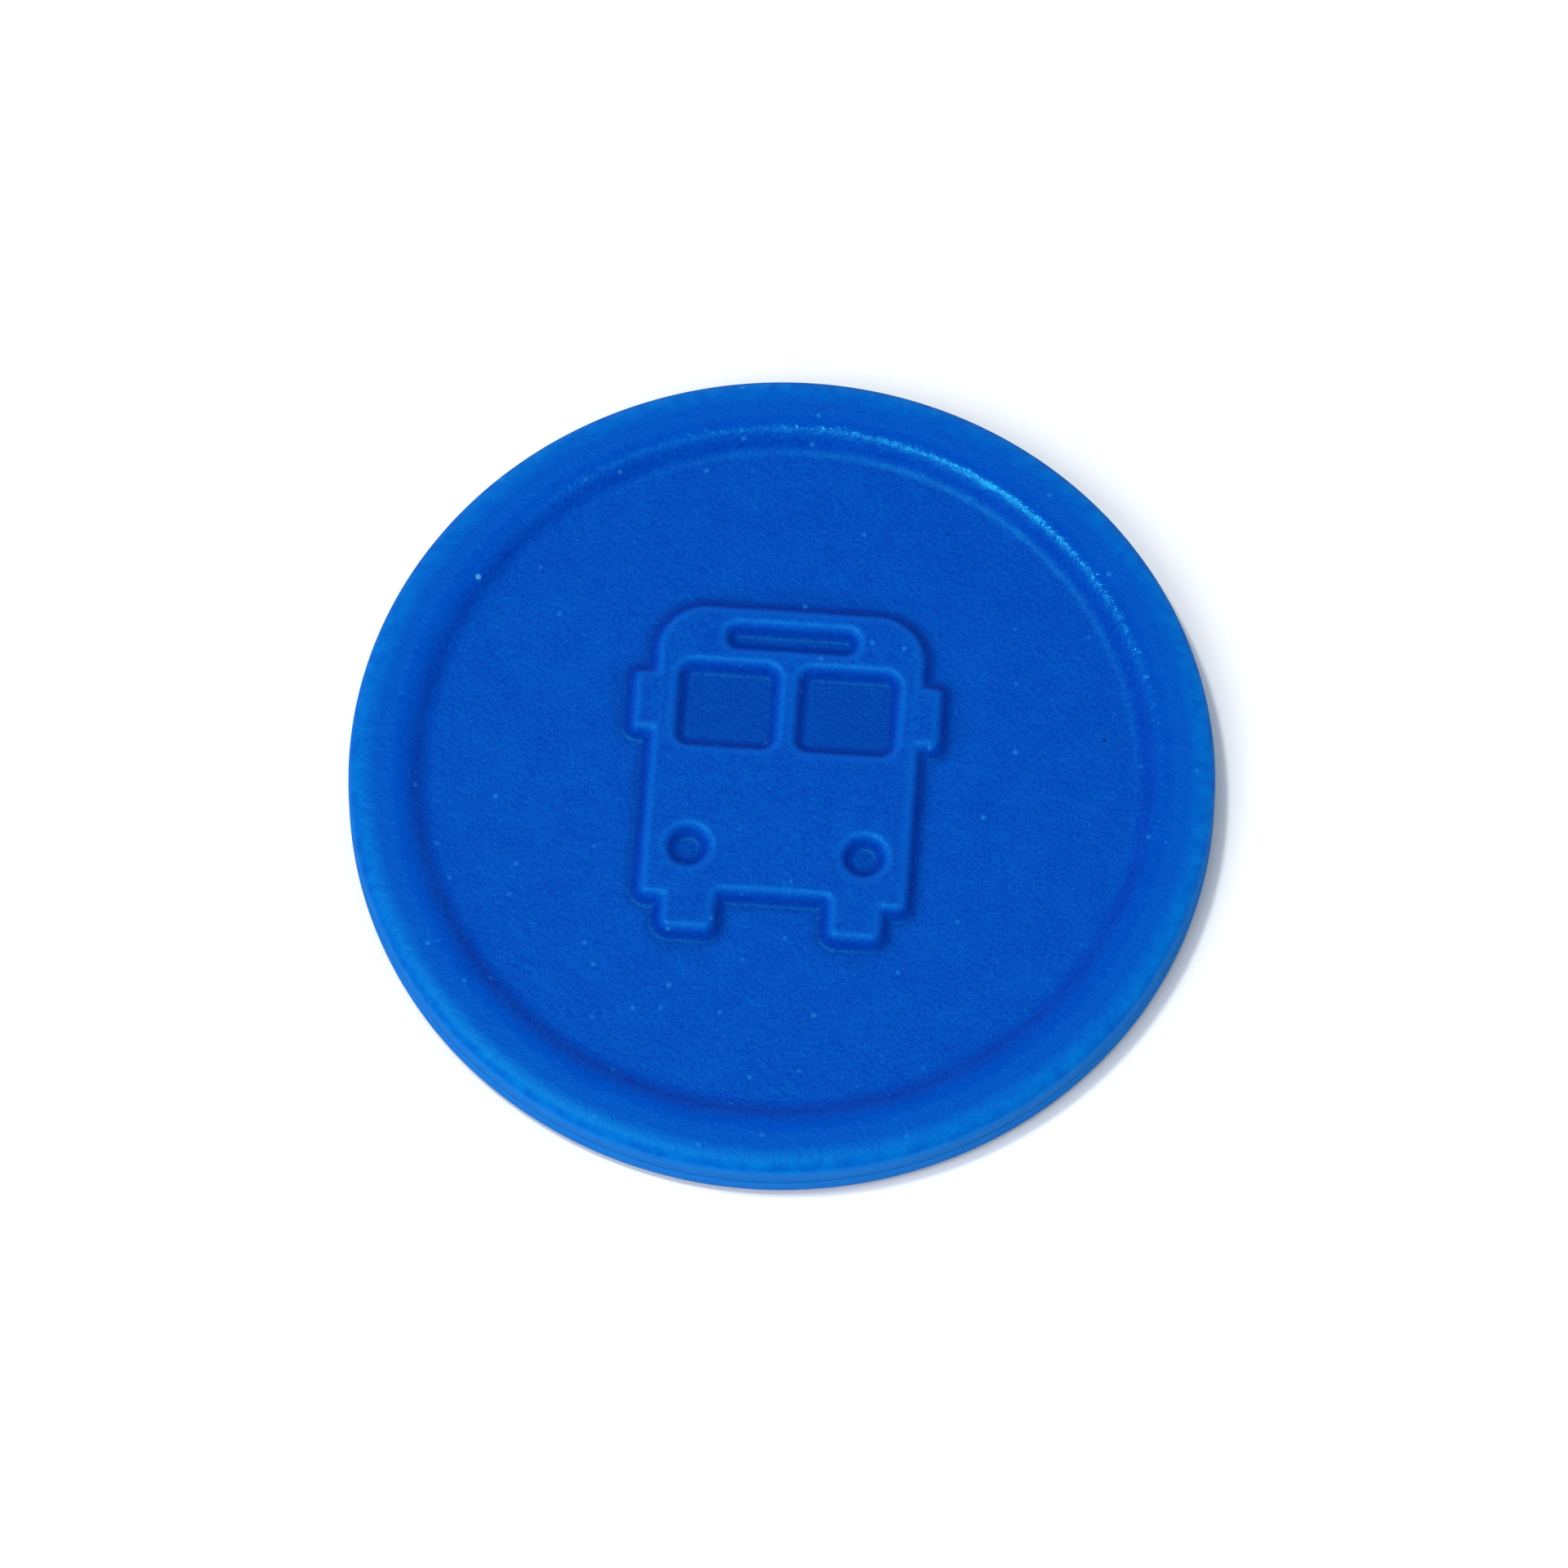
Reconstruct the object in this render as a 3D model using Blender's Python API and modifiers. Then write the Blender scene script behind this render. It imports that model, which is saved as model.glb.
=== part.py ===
"""Contactless transit token: two welded plastic shells around a chip-and-coil inlay board.

The token lies flat: its back rim rests on z = 0, its front face is up (+Z) and the top of the
emblem points to +Y. The origin is the centre of the back rim's plane. Lengths are in metres.
"""

import bmesh
import bpy
from math import acos, asin, atan, atan2, cos, hypot, pi, sin, sqrt, tau

MM = 0.001

# ---------------------------------------------------------------- driving dimensions
# Token
TOKEN_RADIUS = 15.0 * MM
TOKEN_THICKNESS = 2.0 * MM
RIM_HEIGHT = 0.42 * MM          # rim above the field, on both faces
RIM_FLAT_WIDTH = 0.52 * MM      # flat top of the rim
SHOULDER_WIDTH = 0.74 * MM      # upper, outward-curved part of the fall from the rim to the field
FOOT_WIDTH = 0.52 * MM          # lower, hollow part of the fall
EDGE_WIDTH = 1.1 * MM           # crowned outer edge, along the radius
EDGE_DROP = 0.5 * MM            # crowned outer edge, along the axis
SIDE_WALL = 2.6 * MM            # from the cavity to the outside
BACK_WEB = 0.3 * MM             # floor of the back shell

# Welded tongue-and-groove joint between the shells
SEAM_GAP = 0.04 * MM
SEAM_CHAMFER = 0.03 * MM
TONGUE_INSET = 1.1 * MM         # from the outside to the tongue
TONGUE_WIDTH = 0.6 * MM
TONGUE_HEIGHT = 0.4 * MM
TONGUE_CLEARANCE = 0.05 * MM

# Raised emblem on both faces: the front of a bus
EMBLEM_HEIGHT = 0.36 * MM
EMBLEM_ROOT = 0.1 * MM          # how far the emblem's solid reaches into the shell
BUS_HALF_WIDTH = 4.7 * MM
BUS_TOP = 6.2 * MM
BUS_BOTTOM = -5.0 * MM
BUS_ROOF_RADIUS = 1.8 * MM
BUS_SKIRT_RADIUS = 0.35 * MM
MIRROR_REACH = 0.7 * MM
MIRROR_TOP = 3.6 * MM
MIRROR_BOTTOM = 1.2 * MM
MIRROR_RADIUS = 0.3 * MM
WHEEL_INSET = 0.8 * MM          # from the bus's side to the wheel
WHEEL_WIDTH = 2.0 * MM
WHEEL_DROP = 1.2 * MM
WHEEL_RADIUS = 0.4 * MM
UNDERSIDE_RISE = 0.3 * MM       # of the edge between the wheels above the skirt
ROOT_RADIUS = 0.15 * MM         # inside corners of the outline
WINDOW_INSET = 0.95 * MM        # from the bus's side to the windscreen
WINDOW_PILLAR = 0.8 * MM        # between the two windscreen panes
WINDOW_TOP = 3.9 * MM
WINDOW_BOTTOM = 0.9 * MM
WINDOW_RADIUS = 0.45 * MM
SIGN_HALF_WIDTH = 2.2 * MM
SIGN_BOTTOM = 4.65 * MM
SIGN_HEIGHT = 0.75 * MM
SIGN_RADIUS = 0.33 * MM
LAMP_RADIUS = 0.65 * MM
LAMP_INSET = 1.65 * MM          # from the bus's side to the lamp's centre
LAMP_RISE = 2.0 * MM            # from the bus's skirt to the lamp's centre

# Inlay
CONTACT_GAP = 0.03 * MM         # kept between pieces that rest on or are bonded to each other
ADHESIVE_THICKNESS = 0.04 * MM
ADHESIVE_INNER_RADIUS = 2.0 * MM
ADHESIVE_MARGIN = 0.4 * MM      # from the adhesive to the inner via's land
BOARD_THICKNESS = 0.12 * MM
BOARD_CLEARANCE = 0.2 * MM      # from the board's edge to the cavity wall
COPPER_THICKNESS = 0.04 * MM
COIL_HEADROOM = 0.07 * MM       # from the copper to the front shell
COIL_TURNS = 7
COIL_PITCH = 0.5 * MM
TRACK_WIDTH = 0.24 * MM
COIL_EDGE_MARGIN = 0.45 * MM    # from the board's edge to the outer turn's middle
LEAD_OFFSET = 0.75 * MM         # of each lead from the board's X axis
LAND_RADIUS = 0.3 * MM
VIA_RADIUS = 0.18 * MM
VIA_BORE_RADIUS = 0.09 * MM
INNER_VIA_INSET = 0.65 * MM     # from the inner turn's middle to the inner via

# Transponder chip
DIE_SIDE = 1.2 * MM
DIE_THICKNESS = 0.1 * MM
DIE_OFFSET = 0.45 * MM          # of the die's middle from the board's middle, towards -X
DIE_ATTACH_THICKNESS = 0.02 * MM
DIE_ATTACH_BORDER = 0.05 * MM
DIE_PAD_INSET = 0.2 * MM        # from the die's edge to its bond pad
BOND_PAD_GAP = 0.8 * MM         # from the die's edge to the bond pads on the board
WIRE_RADIUS = 0.02 * MM
WIRE_LOOP = 0.03 * MM           # rise of the wire above the die's top
WIRE_LEVEL_SHARE = 0.4          # share of the wire's run before it drops to the board
GLOB_SKIN = 0.06 * MM           # epoxy over the wires
GLOB_WALL = 0.77 * MM           # epoxy around the die and the wires
GLOB_EDGE_SHARE = 0.2           # share of the dome's height that is an upright edge
GLOB_POCKET_MARGIN = 0.12 * MM
RELIEF_CLEARANCE = 0.04 * MM    # from the glob top to the recess in the front shell
RELIEF_MARGIN = 0.3 * MM

# Fineness
SEGMENTS = 64
SMALL_SEGMENTS = 16
CORNER_STEPS = 4
FALL_STEPS = 4
EDGE_STEPS = 5
STEPS_PER_TURN = 40
LAND_STEPS = 6
WIRE_STEPS = 10
GLOB_STEPS = 6
WELD = 1e-7

# ---------------------------------------------------------------- heights that follow
BACK_FIELD = RIM_HEIGHT
FRONT_FIELD = TOKEN_THICKNESS - RIM_HEIGHT
PARTING = TOKEN_THICKNESS / 2
FLOOR = BACK_FIELD + BACK_WEB
ADHESIVE_Z = FLOOR + CONTACT_GAP
BOARD_Z = ADHESIVE_Z + ADHESIVE_THICKNESS + CONTACT_GAP
BOARD_TOP = BOARD_Z + BOARD_THICKNESS
COPPER_Z = BOARD_TOP + CONTACT_GAP
COPPER_TOP = COPPER_Z + COPPER_THICKNESS
CROSSOVER_Z = BOARD_Z - CONTACT_GAP - COPPER_THICKNESS
CEILING = COPPER_TOP + COIL_HEADROOM
DIE_ATTACH_Z = BOARD_TOP + CONTACT_GAP
DIE_Z = DIE_ATTACH_Z + DIE_ATTACH_THICKNESS + CONTACT_GAP
DIE_TOP = DIE_Z + DIE_THICKNESS
GLOB_Z = COPPER_TOP + CONTACT_GAP
GLOB_POCKET_TOP = DIE_TOP + CONTACT_GAP + 2 * WIRE_RADIUS + WIRE_LOOP + CONTACT_GAP
GLOB_TOP = GLOB_POCKET_TOP + GLOB_SKIN
RELIEF_TOP = GLOB_TOP + RELIEF_CLEARANCE

# ---------------------------------------------------------------- plan sizes that follow
RIM_OUTER = TOKEN_RADIUS - EDGE_WIDTH
RIM_INNER = RIM_OUTER - RIM_FLAT_WIDTH
FIELD_RADIUS = RIM_INNER - SHOULDER_WIDTH - FOOT_WIDTH
FALL_ANGLE = 2 * atan(RIM_HEIGHT / (SHOULDER_WIDTH + FOOT_WIDTH))
CAVITY_RADIUS = TOKEN_RADIUS - SIDE_WALL
TONGUE_OUTER = TOKEN_RADIUS - TONGUE_INSET
TONGUE_INNER = TONGUE_OUTER - TONGUE_WIDTH
BOARD_RADIUS = CAVITY_RADIUS - BOARD_CLEARANCE
COIL_OUTER = BOARD_RADIUS - COIL_EDGE_MARGIN
COIL_INNER = COIL_OUTER - COIL_TURNS * COIL_PITCH
OUTER_VIA_X = sqrt(COIL_OUTER ** 2 - LEAD_OFFSET ** 2)
COIL_TAIL_X = sqrt(COIL_INNER ** 2 - LEAD_OFFSET ** 2)
INNER_VIA_X = COIL_TAIL_X - INNER_VIA_INSET
ADHESIVE_RADIUS = INNER_VIA_X - LAND_RADIUS - ADHESIVE_MARGIN
BOND_PAD_X = -DIE_OFFSET + DIE_SIDE / 2 + BOND_PAD_GAP
GLOB_POCKET_RADIUS = GLOB_POCKET_MARGIN + max(
    hypot(DIE_OFFSET + DIE_SIDE / 2, DIE_SIDE / 2),
    hypot(BOND_PAD_X, LEAD_OFFSET),
)
GLOB_RADIUS = GLOB_POCKET_RADIUS + GLOB_WALL
RELIEF_RADIUS = GLOB_RADIUS + RELIEF_MARGIN


# ---------------------------------------------------------------- helpers
def start_empty():
    """Remove what the scene holds and add the collection for the token's pieces."""
    for item in list(bpy.data.objects):
        bpy.data.objects.remove(item, do_unlink=True)
    collection = bpy.data.collections.new("transit_token")
    bpy.context.scene.collection.children.link(collection)
    cutters = bpy.data.collections.new("cutters")
    bpy.context.scene.collection.children.link(cutters)
    return collection, cutters


def finish_of(name, colour, roughness, metallic=0.0):
    """A plain finish: linear colour, roughness and metallic value."""
    material = bpy.data.materials.new(name)
    material.use_nodes = True
    shader = material.node_tree.nodes["Principled BSDF"]
    shader.inputs["Base Color"].default_value = (*colour, 1.0)
    shader.inputs["Roughness"].default_value = roughness
    shader.inputs["Metallic"].default_value = metallic
    material.diffuse_color = (*colour, 1.0)
    return material


def add_object(name, data, collection, material=None):
    """Link new data as an object, with its material."""
    item = bpy.data.objects.new(name, data)
    if material is not None:
        data.materials.append(material)
    collection.objects.link(item)
    return item


def turned(name, profile, collection, material, closed=False, segments=SEGMENTS):
    """A solid turned about Z from a profile of (radius, height) that runs down its outer side."""
    mesh = bpy.data.meshes.new(name)
    points = [(radius, 0.0, height) for radius, height in profile]
    edges = [(i, i + 1) for i in range(len(points) - 1)]
    if closed:
        edges.append((len(points) - 1, 0))
    mesh.from_pydata(points, edges, [])
    item = add_object(name, mesh, collection, material)
    screw = item.modifiers.new("turn", "SCREW")
    screw.axis = "Z"
    screw.angle = tau
    screw.steps = segments
    screw.render_steps = segments
    screw.use_merge_vertices = True
    screw.merge_threshold = WELD
    screw.use_smooth_shade = True
    return item


def flat_piece(name, outlines, bottom, thickness, collection, material=None):
    """A flat piece: closed outlines in the XY plane, the later ones holes in the first."""
    curve = bpy.data.curves.new(name, "CURVE")
    curve.dimensions = "2D"
    curve.fill_mode = "BOTH"
    curve.extrude = thickness / 2
    for outline in outlines:
        spline = curve.splines.new("POLY")
        spline.points.add(len(outline) - 1)
        for point, (x, y) in zip(spline.points, outline):
            point.co = (x, y, 0.0, 1.0)
        spline.use_cyclic_u = True
    item = add_object(name, curve, collection, material)
    item.location.z = bottom + thickness / 2
    return item


def as_mesh(item, collection):
    """Replace a curve by the mesh it draws, its caps welded on."""
    bpy.context.view_layer.update()
    evaluated = item.evaluated_get(bpy.context.evaluated_depsgraph_get())
    mesh = bpy.data.meshes.new_from_object(evaluated)
    welded = bmesh.new()
    welded.from_mesh(mesh)
    bmesh.ops.remove_doubles(welded, verts=welded.verts, dist=WELD)
    welded.to_mesh(mesh)
    welded.free()
    name = item.name
    place = item.matrix_world.copy()
    bpy.data.objects.remove(item)
    mesh_item = add_object(name, mesh, collection)
    mesh_item.matrix_world = place
    return mesh_item


def combine(item, tool, operation):
    """Join a tool to a piece or cut it away, and put the tool out of the drawing."""
    tool.hide_render = True
    tool.display_type = "WIRE"
    step = item.modifiers.new(tool.name, "BOOLEAN")
    step.operation = operation
    step.solver = "EXACT"
    step.object = tool


def circle(radius, centre=(0.0, 0.0), steps=SMALL_SEGMENTS):
    """Points round a circle in the XY plane."""
    turn = [tau * i / steps for i in range(steps)]
    return [(centre[0] + radius * cos(a), centre[1] + radius * sin(a)) for a in turn]


def rounded(corners):
    """A polygon whose (x, y, radius) corners are each replaced by an arc."""
    outline = []
    for i, (x, y, radius) in enumerate(corners):
        before = corners[i - 1]
        after = corners[(i + 1) % len(corners)]
        back = atan2(before[1] - y, before[0] - x)
        ahead = atan2(after[1] - y, after[0] - x)
        half = acos(cos(back - ahead)) / 2
        reach = radius / sin(half)
        middle = atan2(sin(back) + sin(ahead), cos(back) + cos(ahead))
        cx = x + reach * cos(middle)
        cy = y + reach * sin(middle)
        left_turn = sin(ahead - back) < 0
        sweep = (pi - 2 * half) * (1 if left_turn else -1)
        start = middle + pi - sweep / 2
        for k in range(CORNER_STEPS + 1):
            angle = start + sweep * k / CORNER_STEPS
            outline.append((cx + radius * cos(angle), cy + radius * sin(angle)))
    return outline


def box_outline(left, right, bottom, top, radius):
    """A rectangle with rounded corners."""
    corners = [(left, bottom), (right, bottom), (right, top), (left, top)]
    return rounded([(x, y, radius) for x, y in corners])


def rim_fall(field, up):
    """The fall between field and rim, as (radius, height) from the field outwards; up is 1 or -1.

    A hollow arc (the foot) and a crowned one (the shoulder) meet at the fall's steepest angle.
    """
    foot_radius = FOOT_WIDTH / sin(FALL_ANGLE)
    shoulder_radius = SHOULDER_WIDTH / sin(FALL_ANGLE)
    foot = []
    shoulder = []
    for i in range(FALL_STEPS + 1):
        angle = FALL_ANGLE * i / FALL_STEPS
        rise = foot_radius * (1 - cos(angle))
        foot.append((FIELD_RADIUS + foot_radius * sin(angle), field + up * rise))
        drop = shoulder_radius * (1 - cos(angle))
        shoulder.append((RIM_INNER - shoulder_radius * sin(angle), field + up * (RIM_HEIGHT - drop)))
    return foot + shoulder[-2::-1]


def edge_round(height, towards):
    """The crowned outer edge, a quarter ellipse from the rim's flat; towards is -1 down or 1 up."""
    points = []
    for i in range(EDGE_STEPS + 1):
        angle = pi / 2 * i / EDGE_STEPS
        drop = EDGE_DROP * (1 - cos(angle))
        points.append((RIM_OUTER + EDGE_WIDTH * sin(angle), height + towards * drop))
    return points


# ---------------------------------------------------------------- emblem
def bus_outlines():
    """The front of a bus: its body with mirrors and wheels, then the openings in it."""
    side = BUS_HALF_WIDTH
    wheel_out = side - WHEEL_INSET
    wheel_in = wheel_out - WHEEL_WIDTH
    low = BUS_BOTTOM - WHEEL_DROP
    half = [
        (wheel_in, BUS_BOTTOM + UNDERSIDE_RISE, ROOT_RADIUS),
        (wheel_in, low, WHEEL_RADIUS),
        (wheel_out, low, WHEEL_RADIUS),
        (wheel_out, BUS_BOTTOM, ROOT_RADIUS),
        (side, BUS_BOTTOM, BUS_SKIRT_RADIUS),
        (side, MIRROR_BOTTOM, ROOT_RADIUS),
        (side + MIRROR_REACH, MIRROR_BOTTOM, MIRROR_RADIUS),
        (side + MIRROR_REACH, MIRROR_TOP, MIRROR_RADIUS),
        (side, MIRROR_TOP, ROOT_RADIUS),
        (side, BUS_TOP, BUS_ROOF_RADIUS),
    ]
    body = rounded(half + [(-x, y, radius) for x, y, radius in reversed(half)])
    pane_in = WINDOW_PILLAR / 2
    pane_out = side - WINDOW_INSET
    lamp_x = side - LAMP_INSET
    lamp_y = BUS_BOTTOM + LAMP_RISE
    sign_top = SIGN_BOTTOM + SIGN_HEIGHT
    return [
        body,
        box_outline(pane_in, pane_out, WINDOW_BOTTOM, WINDOW_TOP, WINDOW_RADIUS),
        box_outline(-pane_out, -pane_in, WINDOW_BOTTOM, WINDOW_TOP, WINDOW_RADIUS),
        box_outline(-SIGN_HALF_WIDTH, SIGN_HALF_WIDTH, SIGN_BOTTOM, sign_top, SIGN_RADIUS),
        circle(LAMP_RADIUS, (lamp_x, lamp_y)),
        circle(LAMP_RADIUS, (-lamp_x, lamp_y)),
    ]


def add_emblem(shell, field, up, cutters):
    """Join the raised emblem to a shell's outer face; up is 1 on the front and -1 on the back."""
    low = min(field - up * EMBLEM_ROOT, field + up * EMBLEM_HEIGHT)
    thickness = EMBLEM_ROOT + EMBLEM_HEIGHT
    emblem = flat_piece(shell.name + "_emblem", bus_outlines(), low, thickness, cutters)
    combine(shell, as_mesh(emblem, cutters), "UNION")


# ---------------------------------------------------------------- shells
def make_front_shell(collection, cutters):
    """Front shell: rim, field and emblem outside; tongue, cavity and chip recess inside."""
    land = PARTING + SEAM_GAP / 2
    profile = [(0.0, FRONT_FIELD)]
    profile += rim_fall(FRONT_FIELD, 1)
    profile += edge_round(TOKEN_THICKNESS, -1)
    profile += [
        (TOKEN_RADIUS, land + SEAM_CHAMFER),
        (TOKEN_RADIUS - SEAM_CHAMFER, land),
        (TONGUE_OUTER, land),
        (TONGUE_OUTER, land - TONGUE_HEIGHT),
        (TONGUE_INNER, land - TONGUE_HEIGHT),
        (TONGUE_INNER, land),
        (CAVITY_RADIUS, land),
        (CAVITY_RADIUS, CEILING),
        (RELIEF_RADIUS, CEILING),
        (RELIEF_RADIUS, RELIEF_TOP),
        (0.0, RELIEF_TOP),
    ]
    blue = finish_of("blue_abs_front", (0.0, 0.09, 0.52), 0.42)
    shell = turned("front_shell", profile, collection, blue)
    add_emblem(shell, FRONT_FIELD, 1, cutters)


def make_back_shell(collection, cutters):
    """Back shell: the same outside, with the groove that takes the front shell's tongue."""
    land = PARTING - SEAM_GAP / 2
    groove_outer = TONGUE_OUTER + TONGUE_CLEARANCE
    groove_inner = TONGUE_INNER - TONGUE_CLEARANCE
    groove_floor = land + SEAM_GAP - TONGUE_HEIGHT - TONGUE_CLEARANCE
    profile = [
        (0.0, FLOOR),
        (CAVITY_RADIUS, FLOOR),
        (CAVITY_RADIUS, land),
        (groove_inner, land),
        (groove_inner, groove_floor),
        (groove_outer, groove_floor),
        (groove_outer, land),
        (TOKEN_RADIUS - SEAM_CHAMFER, land),
        (TOKEN_RADIUS, land - SEAM_CHAMFER),
    ]
    profile += reversed(edge_round(0.0, 1))
    profile += reversed(rim_fall(BACK_FIELD, -1))
    profile.append((0.0, BACK_FIELD))
    blue = finish_of("blue_abs_back", (0.0, 0.09, 0.52), 0.42)
    shell = turned("back_shell", profile, collection, blue)
    add_emblem(shell, BACK_FIELD, -1, cutters)


# ---------------------------------------------------------------- inlay
def make_adhesive(collection):
    """A ring of double-sided tape that holds the board on the back shell's floor."""
    low = ADHESIVE_Z
    high = low + ADHESIVE_THICKNESS
    ring = [
        (ADHESIVE_RADIUS, high),
        (ADHESIVE_RADIUS, low),
        (ADHESIVE_INNER_RADIUS, low),
        (ADHESIVE_INNER_RADIUS, high),
    ]
    tape = finish_of("clear_acrylic_tape", (0.75, 0.72, 0.62), 0.35)
    turned("adhesive_ring", ring, collection, tape, closed=True)


def make_board(collection):
    """The glass-epoxy disc that carries the copper, with a hole for each via."""
    hole = VIA_RADIUS + CONTACT_GAP
    outlines = [
        circle(BOARD_RADIUS, steps=SEGMENTS),
        circle(hole, (OUTER_VIA_X, -LEAD_OFFSET)),
        circle(hole, (INNER_VIA_X, -LEAD_OFFSET)),
    ]
    laminate = finish_of("glass_epoxy_laminate", (0.42, 0.40, 0.16), 0.5)
    flat_piece("inlay_board", outlines, BOARD_Z, BOARD_THICKNESS, collection, laminate)


def land_run(centre, towards):
    """Points through a round land: from its far edge to where the track leaves it."""
    leave = sqrt(LAND_RADIUS ** 2 - (TRACK_WIDTH / 2) ** 2)
    length = hypot(towards[0] - centre[0], towards[1] - centre[1])
    ux = (towards[0] - centre[0]) / length
    uy = (towards[1] - centre[1]) / length
    points = []
    for i in range(1, LAND_STEPS + 1):
        reach = -LAND_RADIUS + (LAND_RADIUS + leave) * (1 - cos(pi * i / (LAND_STEPS + 1))) / 2
        points.append((centre[0] + ux * reach, centre[1] + uy * reach))
    return points


def track_outline(path, lands):
    """The outline of a track along a path, widened to a disc round each land's centre."""
    left = []
    right = []
    for i, (x, y) in enumerate(path):
        before = path[max(i - 1, 0)]
        after = path[min(i + 1, len(path) - 1)]
        length = hypot(after[0] - before[0], after[1] - before[1])
        nx = -(after[1] - before[1]) / length
        ny = (after[0] - before[0]) / length
        half = TRACK_WIDTH / 2
        for centre in lands:
            chord = LAND_RADIUS ** 2 - (x - centre[0]) ** 2 - (y - centre[1]) ** 2
            half = sqrt(max(half ** 2, chord))
        left.append((x + nx * half, y + ny * half))
        right.append((x - nx * half, y - ny * half))
    return left + right[::-1]


def make_antenna_coil(collection):
    """The flat copper spiral, wound inwards, with its inner lead run in to the chip."""
    start = asin(-LEAD_OFFSET / COIL_OUTER)
    sweep = COIL_TURNS * tau + asin(LEAD_OFFSET / COIL_INNER) - start
    steps = round(STEPS_PER_TURN * sweep / tau)
    spiral = []
    for i in range(steps + 1):
        radius = COIL_OUTER + (COIL_INNER - COIL_OUTER) * i / steps
        angle = start + sweep * i / steps
        spiral.append((radius * cos(angle), radius * sin(angle)))
    via = spiral[0]
    pad = (BOND_PAD_X, LEAD_OFFSET)
    path = land_run(via, spiral[1]) + spiral[1:]
    path += land_run(pad, spiral[-1])[::-1]
    copper = finish_of("etched_copper_coil", (0.72, 0.30, 0.14), 0.3, 1.0)
    outline = track_outline(path, [via, pad])
    flat_piece("antenna_coil", [outline], COPPER_Z, COPPER_THICKNESS, collection, copper)


def make_link(name, start, end, bottom, collection):
    """A straight copper track between two round lands."""
    path = land_run(start, end) + land_run(end, start)[::-1]
    copper = finish_of("etched_copper_" + name, (0.72, 0.30, 0.14), 0.3, 1.0)
    outline = track_outline(path, [start, end])
    flat_piece(name, [outline], bottom, COPPER_THICKNESS, collection, copper)


def make_via(name, x, collection):
    """A plated copper barrel through the board."""
    ring = [
        (VIA_RADIUS, BOARD_TOP),
        (VIA_RADIUS, BOARD_Z),
        (VIA_BORE_RADIUS, BOARD_Z),
        (VIA_BORE_RADIUS, BOARD_TOP),
    ]
    copper = finish_of("plated_copper_" + name, (0.72, 0.30, 0.14), 0.35, 1.0)
    via = turned(name, ring, collection, copper, closed=True, segments=SMALL_SEGMENTS)
    via.location = (x, -LEAD_OFFSET, 0.0)


def make_block(name, side, thickness, bottom, collection, material):
    """A square block over the die's place."""
    bpy.ops.mesh.primitive_cube_add(size=1.0)
    block = bpy.context.active_object
    block.name = name
    for vertex in block.data.vertices:
        vertex.co.x *= side
        vertex.co.y *= side
        vertex.co.z *= thickness
    block.location = (-DIE_OFFSET, 0.0, bottom + thickness / 2)
    block.data.materials.append(material)
    for owner in list(block.users_collection):
        owner.objects.unlink(block)
    collection.objects.link(block)


def make_bond_wire(name, side, collection):
    """A fine gold wire from the die's bond pad over to the board's; side is 1 or -1 in Y."""
    lift = CONTACT_GAP + WIRE_RADIUS
    inset = DIE_SIDE / 2 - DIE_PAD_INSET
    start = (inset - DIE_OFFSET, side * inset, DIE_TOP + lift)
    end = (BOND_PAD_X, side * LEAD_OFFSET, COPPER_TOP + lift)
    curve = bpy.data.curves.new(name, "CURVE")
    curve.dimensions = "3D"
    curve.bevel_depth = WIRE_RADIUS
    curve.bevel_resolution = 1
    curve.use_fill_caps = True
    spline = curve.splines.new("POLY")
    spline.points.add(WIRE_STEPS)
    for i, point in enumerate(spline.points):
        share = i / WIRE_STEPS
        x = start[0] + (end[0] - start[0]) * share
        y = start[1] + (end[1] - start[1]) * share
        fall = max(0.0, share - WIRE_LEVEL_SHARE) / (1 - WIRE_LEVEL_SHARE)
        height = start[2] + (end[2] - start[2]) * fall ** 2 + WIRE_LOOP * sin(pi * share)
        point.co = (x, y, height, 1.0)
    gold = finish_of("gold_" + name, (0.9, 0.62, 0.2), 0.25, 1.0)
    add_object(name, curve, collection, gold)


def make_glob_top(collection):
    """The black epoxy cap over die and wires, open below."""
    edge_top = GLOB_Z + (GLOB_TOP - GLOB_Z) * GLOB_EDGE_SHARE
    profile = []
    for i in range(GLOB_STEPS + 1):
        share = sin(pi / 2 * i / GLOB_STEPS)
        dome = sqrt(max(0.0, 1 - share ** 4))
        profile.append((GLOB_RADIUS * share, edge_top + (GLOB_TOP - edge_top) * dome))
    profile += [
        (GLOB_RADIUS, GLOB_Z),
        (GLOB_POCKET_RADIUS, GLOB_Z),
        (GLOB_POCKET_RADIUS, GLOB_POCKET_TOP),
        (0.0, GLOB_POCKET_TOP),
    ]
    epoxy = finish_of("black_epoxy", (0.012, 0.012, 0.013), 0.3)
    turned("glob_top", profile, collection, epoxy, segments=SMALL_SEGMENTS * 2)


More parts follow.
